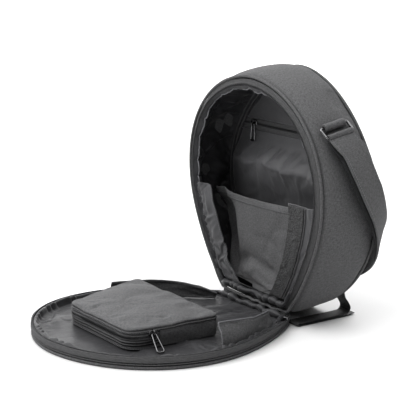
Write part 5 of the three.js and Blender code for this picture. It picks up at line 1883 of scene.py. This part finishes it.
class SADDLEBAG_OT_webbing(bpy.types.Operator):
    """Make the mounting webbing that turns under the shell"""

    bl_idname = "saddlebag.webbing"
    bl_label = "Mounting webbing"

    def execute(self, context):
        flat = np.array(WEBBING_PATH, float)
        points = np.stack(np.broadcast_arrays(float(WEBBING_X), flat[:, 0], flat[:, 1]), -1)
        path = spline(points, WEBBING_STEPS)
        across = np.broadcast_to(SIDEWAYS, path.shape)
        up = np.cross(across, unit(np.gradient(path, axis=0)))
        grid = swept(path, across, up, rounded_bar(WEBBING_WIDTH, WEBBING_THICKNESS, power=7, sides=28))
        finish = finish_named("polypropylene_webbing")
        webbing = add_grid("mount_webbing_band", grid, finish, wrap_columns=True, poles=(path[0], path[-1]))
        dress(outward(webbing), "webbing", "mount_webbing")
        return {"FINISHED"}


# Zip sliders and pulls

SLIDER_LENGTH = 14
SLIDER_WIDTH = 10
SLIDER_BASE = 2.4
SLIDER_RISE = 3.6
BRIDGE_SINK = 0.6
BRIDGE_CLEARANCE = 1.3
BRIDGE_REACH = 4.3
BRIDGE_BAR = (4.0, 1.4)
PULL_LENGTH = 30
PULL_WIDTHS = (7.0, 11.0)
PULL_CORNER = 2.5
POCKET_SLIDER_X = -108
POCKET_SLIDER_SINK = 0.4
POCKET_SLIDER_RISE = 2
POUCH_SLIDER_Y = -247
POUCH_SLIDER_HEIGHT = 33
POUCH_SLIDER_LIFT = 0.4
POUCH_PULL_LEAN = math.radians(45)
MAIN_SLIDER_SIZE = (13, 8, 6)
MAIN_SLIDER_SEAT = 3.0
MAIN_SLIDER_HEIGHT = 16.4
MAIN_SLIDER_STEP = 0.6


def soft_block(size, middle, frame_vectors, power=5, rings=16, sides=24):
    """Rounded block: a superellipsoid of three sizes, set in a frame of three unit vectors; and its poles."""
    lift = np.linspace(-math.pi / 2, math.pi / 2, rings)[1:-1, None]
    turn = (np.arange(sides) * TURN / sides)[None]
    e = 2 / power
    x = size[0] / 2 * signed_power(np.cos(lift), e) * signed_power(np.cos(turn), e)
    y = size[1] / 2 * signed_power(np.cos(lift), e) * signed_power(np.sin(turn), e)
    z = size[2] / 2 * signed_power(np.sin(lift), e) + 0 * turn
    a, b, c = frame_vectors
    grid = middle + x[..., None] * a + y[..., None] * b + z[..., None] * c
    return grid, (middle - c * size[2] / 2, middle + c * size[2] / 2)


def make_slider(name, seat, along, high, out, node):
    """Zip slider: a rounded body on the tape and an arched bridge over it that holds the pull."""
    metal = finish_named("black_nickel")
    block = (SLIDER_LENGTH, SLIDER_WIDTH, SLIDER_BASE)
    grid, tips = soft_block(block, seat + out * SLIDER_BASE / 2, (along, high, out))
    body = outward(add_grid(name + "_body", grid, metal, wrap_columns=True, poles=tips))
    dress(body, "dark_metal", node)
    turn = np.linspace(0, math.pi, 24)[:, None]
    rise = SLIDER_BASE - BRIDGE_SINK + (SLIDER_RISE + BRIDGE_CLEARANCE) * np.sin(turn) ** 0.5
    arch = seat + out * rise + high * BRIDGE_REACH * np.cos(turn)
    bridge = add_tube(name + "_bridge", arch, rounded_bar(*BRIDGE_BAR, power=4, sides=16), along, metal)
    dress(bridge, "dark_metal")


def make_pull(name, seat, along, high, out, lean, node, body):
    """Wire pull: a loop narrower at its head, hung from the slider's bridge and leaning out by an angle."""
    pivot = seat + out * (SLIDER_BASE + SLIDER_RISE / 2)
    hang = out * math.sin(lean) - high * math.cos(lean)
    middle = pivot + hang * PULL_LENGTH / 2
    loop = wire_loop(middle, along, hang, PULL_WIDTHS, PULL_LENGTH, PULL_CORNER)
    profile = circle(sizes()["wire"], 12)
    metal = finish_named("black_nickel")
    wire = add_tube(name, loop, profile, np.cross(along, hang), metal, closed=True)
    dress(wire, "dark_metal", node, body=body)


class SADDLEBAG_OT_sliders(bpy.types.Operator):
    """Make the three zip sliders and the two wire pulls"""

    bl_idname = "saddlebag.sliders"
    bl_label = "Zip sliders"

    def execute(self, context):
        height = POCKET_ZIP_MIDDLE + POCKET_SLIDER_RISE
        seat = np.array([POCKET_SLIDER_X, BACK_DEPTH - POCKET_SLIDER_SINK, height])
        axes = (SIDEWAYS, UP, -BACKWARD)
        make_slider("pocket_slider", seat, *axes, "pocket_slider")
        make_pull("pocket_pull_wire", seat, *axes, 0.0, "pocket_pull", "pocket_pull_body")
        low, high = (np.array((*corner[:2], 0.0)) for corner in POUCH_CORNERS[2:])
        along = unit(high - low)
        out = np.cross(along, UP)
        share = (POUCH_SLIDER_Y - low[1]) / (high[1] - low[1])
        seat = between((low, high), share) + UP * POUCH_SLIDER_HEIGHT + out * POUCH_SLIDER_LIFT
        axes = (along, UP, out)
        make_slider("pouch_slider", seat, *axes, "pouch_slider")
        make_pull("pouch_pull_wire", seat, *axes, POUCH_PULL_LEAN, "pouch_pull", "pouch_pull_body")
        step = CORNER + MAIN_SLIDER_STEP * ARCH_TURN / ARCH_SECTIONS
        here = lid_at(np.array(step), MAIN_SLIDER_SEAT, MAIN_SLIDER_HEIGHT)
        ahead = unit(lid_at(np.array(step + 0.02), MAIN_SLIDER_SEAT, MAIN_SLIDER_HEIGHT) - here)
        grid, tips = soft_block(MAIN_SLIDER_SIZE, here, (ahead, np.cross(ahead, UP), UP))
        metal = finish_named("black_nickel")
        body = outward(add_grid("main_slider_body", grid, metal, wrap_columns=True, poles=tips))
        dress(body, "dark_metal", "main_slider")
        return {"FINISHED"}


# Stage

CAMERA_EYE = np.array([1568.8, -1153.9, 603.9])
CAMERA_TARGET = np.array([-118.4, 0.0, 143.5])
CAMERA_LENS = 108
CAMERA_SENSOR = 36
FLOOR_REACH = 30000.0
FLOOR_DROP = 0.2
BACKDROP_DISTANCE = 3200
BACKDROP_WIDTH = 7000
BACKDROP_HEIGHT = 2600
BACKDROP_GLOW = 1.0
# Where each lamp shines from, its strength and its spread
LAMPS = (
    ("overhead_softbox", (-0.18, -0.10, 0.98), 3.9, math.radians(108)),
    ("front_softbox", (-0.38, -0.70, 0.60), 0.9, math.radians(45)),
)
WORLD_STRENGTH = 0.08
WHITE = (1, 1, 1, 1)
ONE_FACE = [[0, 1, 2, 3]]


def looking(eye, target):
    """Turn of a camera or lamp at the eye that looks at the target."""
    return (Vector(target) - Vector(eye)).to_track_quat("-Z", "Y").to_euler()


def placed(point):
    """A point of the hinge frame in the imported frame, in metres."""
    return tuple((point + HINGE_PLACE) * MM)


class SADDLEBAG_OT_stage(bpy.types.Operator):
    """Make the pale floor, the soft lamps and the camera"""

    bl_idname = "saddlebag.stage"
    bl_label = "Stage"

    def execute(self, context):
        scene = context.scene
        corners = np.array([[-1, -1], [1, -1], [1, 1], [-1, 1]]) * FLOOR_REACH
        points = np.concatenate([corners, np.full((4, 1), -FLOOR_DROP)], 1)
        floor = new_object("floor", points, ONE_FACE, corners, finish_named("matt_floor"))
        away = unit((CAMERA_TARGET - CAMERA_EYE) * (1 - UP))
        middle = away * BACKDROP_DISTANCE
        aside = np.cross(away, UP) * BACKDROP_WIDTH / 2
        points = np.stack([middle - aside, middle + aside])
        points = np.concatenate([points, points[::-1] + UP * BACKDROP_HEIGHT])
        backdrop = new_object("backdrop", points, ONE_FACE, points[:, :2], finish_named("lit_backdrop"))
        for name, source, strength, spread in LAMPS:
            lamp = bpy.data.lights.new(name, "SUN")
            lamp.energy = strength
            lamp.angle = spread
            holder = bpy.data.objects.new(name, lamp)
            holder.rotation_euler = looking(source, (0, 0, 0))
            scene.collection.objects.link(holder)
        world = bpy.data.worlds.new("studio")
        world.use_nodes = True
        sky = next(node for node in world.node_tree.nodes if node.type == "BACKGROUND")
        sky.inputs["Color"].default_value = WHITE
        sky.inputs["Strength"].default_value = WORLD_STRENGTH
        scene.world = world
        scene.view_settings.view_transform = "Standard"
        scene.view_settings.look = "Medium High Contrast"
        lens = bpy.data.cameras.new("camera")
        lens.lens = CAMERA_LENS
        lens.sensor_width = CAMERA_SENSOR
        camera = bpy.data.objects.new("camera", lens)
        camera.location = placed(CAMERA_EYE)
        camera.rotation_euler = looking(placed(CAMERA_EYE), placed(CAMERA_TARGET))
        scene.collection.objects.link(camera)
        scene.camera = camera
        return {"FINISHED"}


OPERATORS = (
    SADDLEBAG_OT_stage,
    SADDLEBAG_OT_shell,
    SADDLEBAG_OT_main_zip,
    SADDLEBAG_OT_lid,
    SADDLEBAG_OT_shell_lining,
    SADDLEBAG_OT_back_pocket,
    SADDLEBAG_OT_divider,
    SADDLEBAG_OT_pouch,
    SADDLEBAG_OT_flaps,
    SADDLEBAG_OT_handle,
    SADDLEBAG_OT_webbing,
    SADDLEBAG_OT_sliders,
)


class SADDLEBAG_PT_sidebar(bpy.types.Panel):
    """Sizes, colours and makers of the saddlebag"""

    bl_idname = "SADDLEBAG_PT_sidebar"
    bl_label = "Saddlebag"
    bl_space_type = "VIEW_3D"
    bl_region_type = "UI"
    bl_category = "Saddlebag"

    def draw(self, context):
        for group in (context.scene.saddlebag_sizes, context.scene.saddlebag_colours):
            for key in group.__annotations__:
                self.layout.prop(group, key)
        for operator in OPERATORS:
            self.layout.operator(operator.bl_idname)


CLASSES = (SaddlebagSizes, SaddlebagColours, *OPERATORS, SADDLEBAG_PT_sidebar)


def register():
    """Registers the classes and hangs the settings on the scene."""
    for item in CLASSES:
        bpy.utils.register_class(item)
    bpy.types.Scene.saddlebag_sizes = bpy.props.PointerProperty(type=SaddlebagSizes)
    bpy.types.Scene.saddlebag_colours = bpy.props.PointerProperty(type=SaddlebagColours)


def unregister():
    """Takes the settings and the classes away again."""
    del bpy.types.Scene.saddlebag_colours
    del bpy.types.Scene.saddlebag_sizes
    for item in reversed(CLASSES):
        bpy.utils.unregister_class(item)


def main():
    """Registers the add-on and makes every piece."""
    register()
    for operator in OPERATORS:
        group, name = operator.bl_idname.split(".")
        getattr(getattr(bpy.ops, group), name)()


if __name__ == "__main__":
    main()
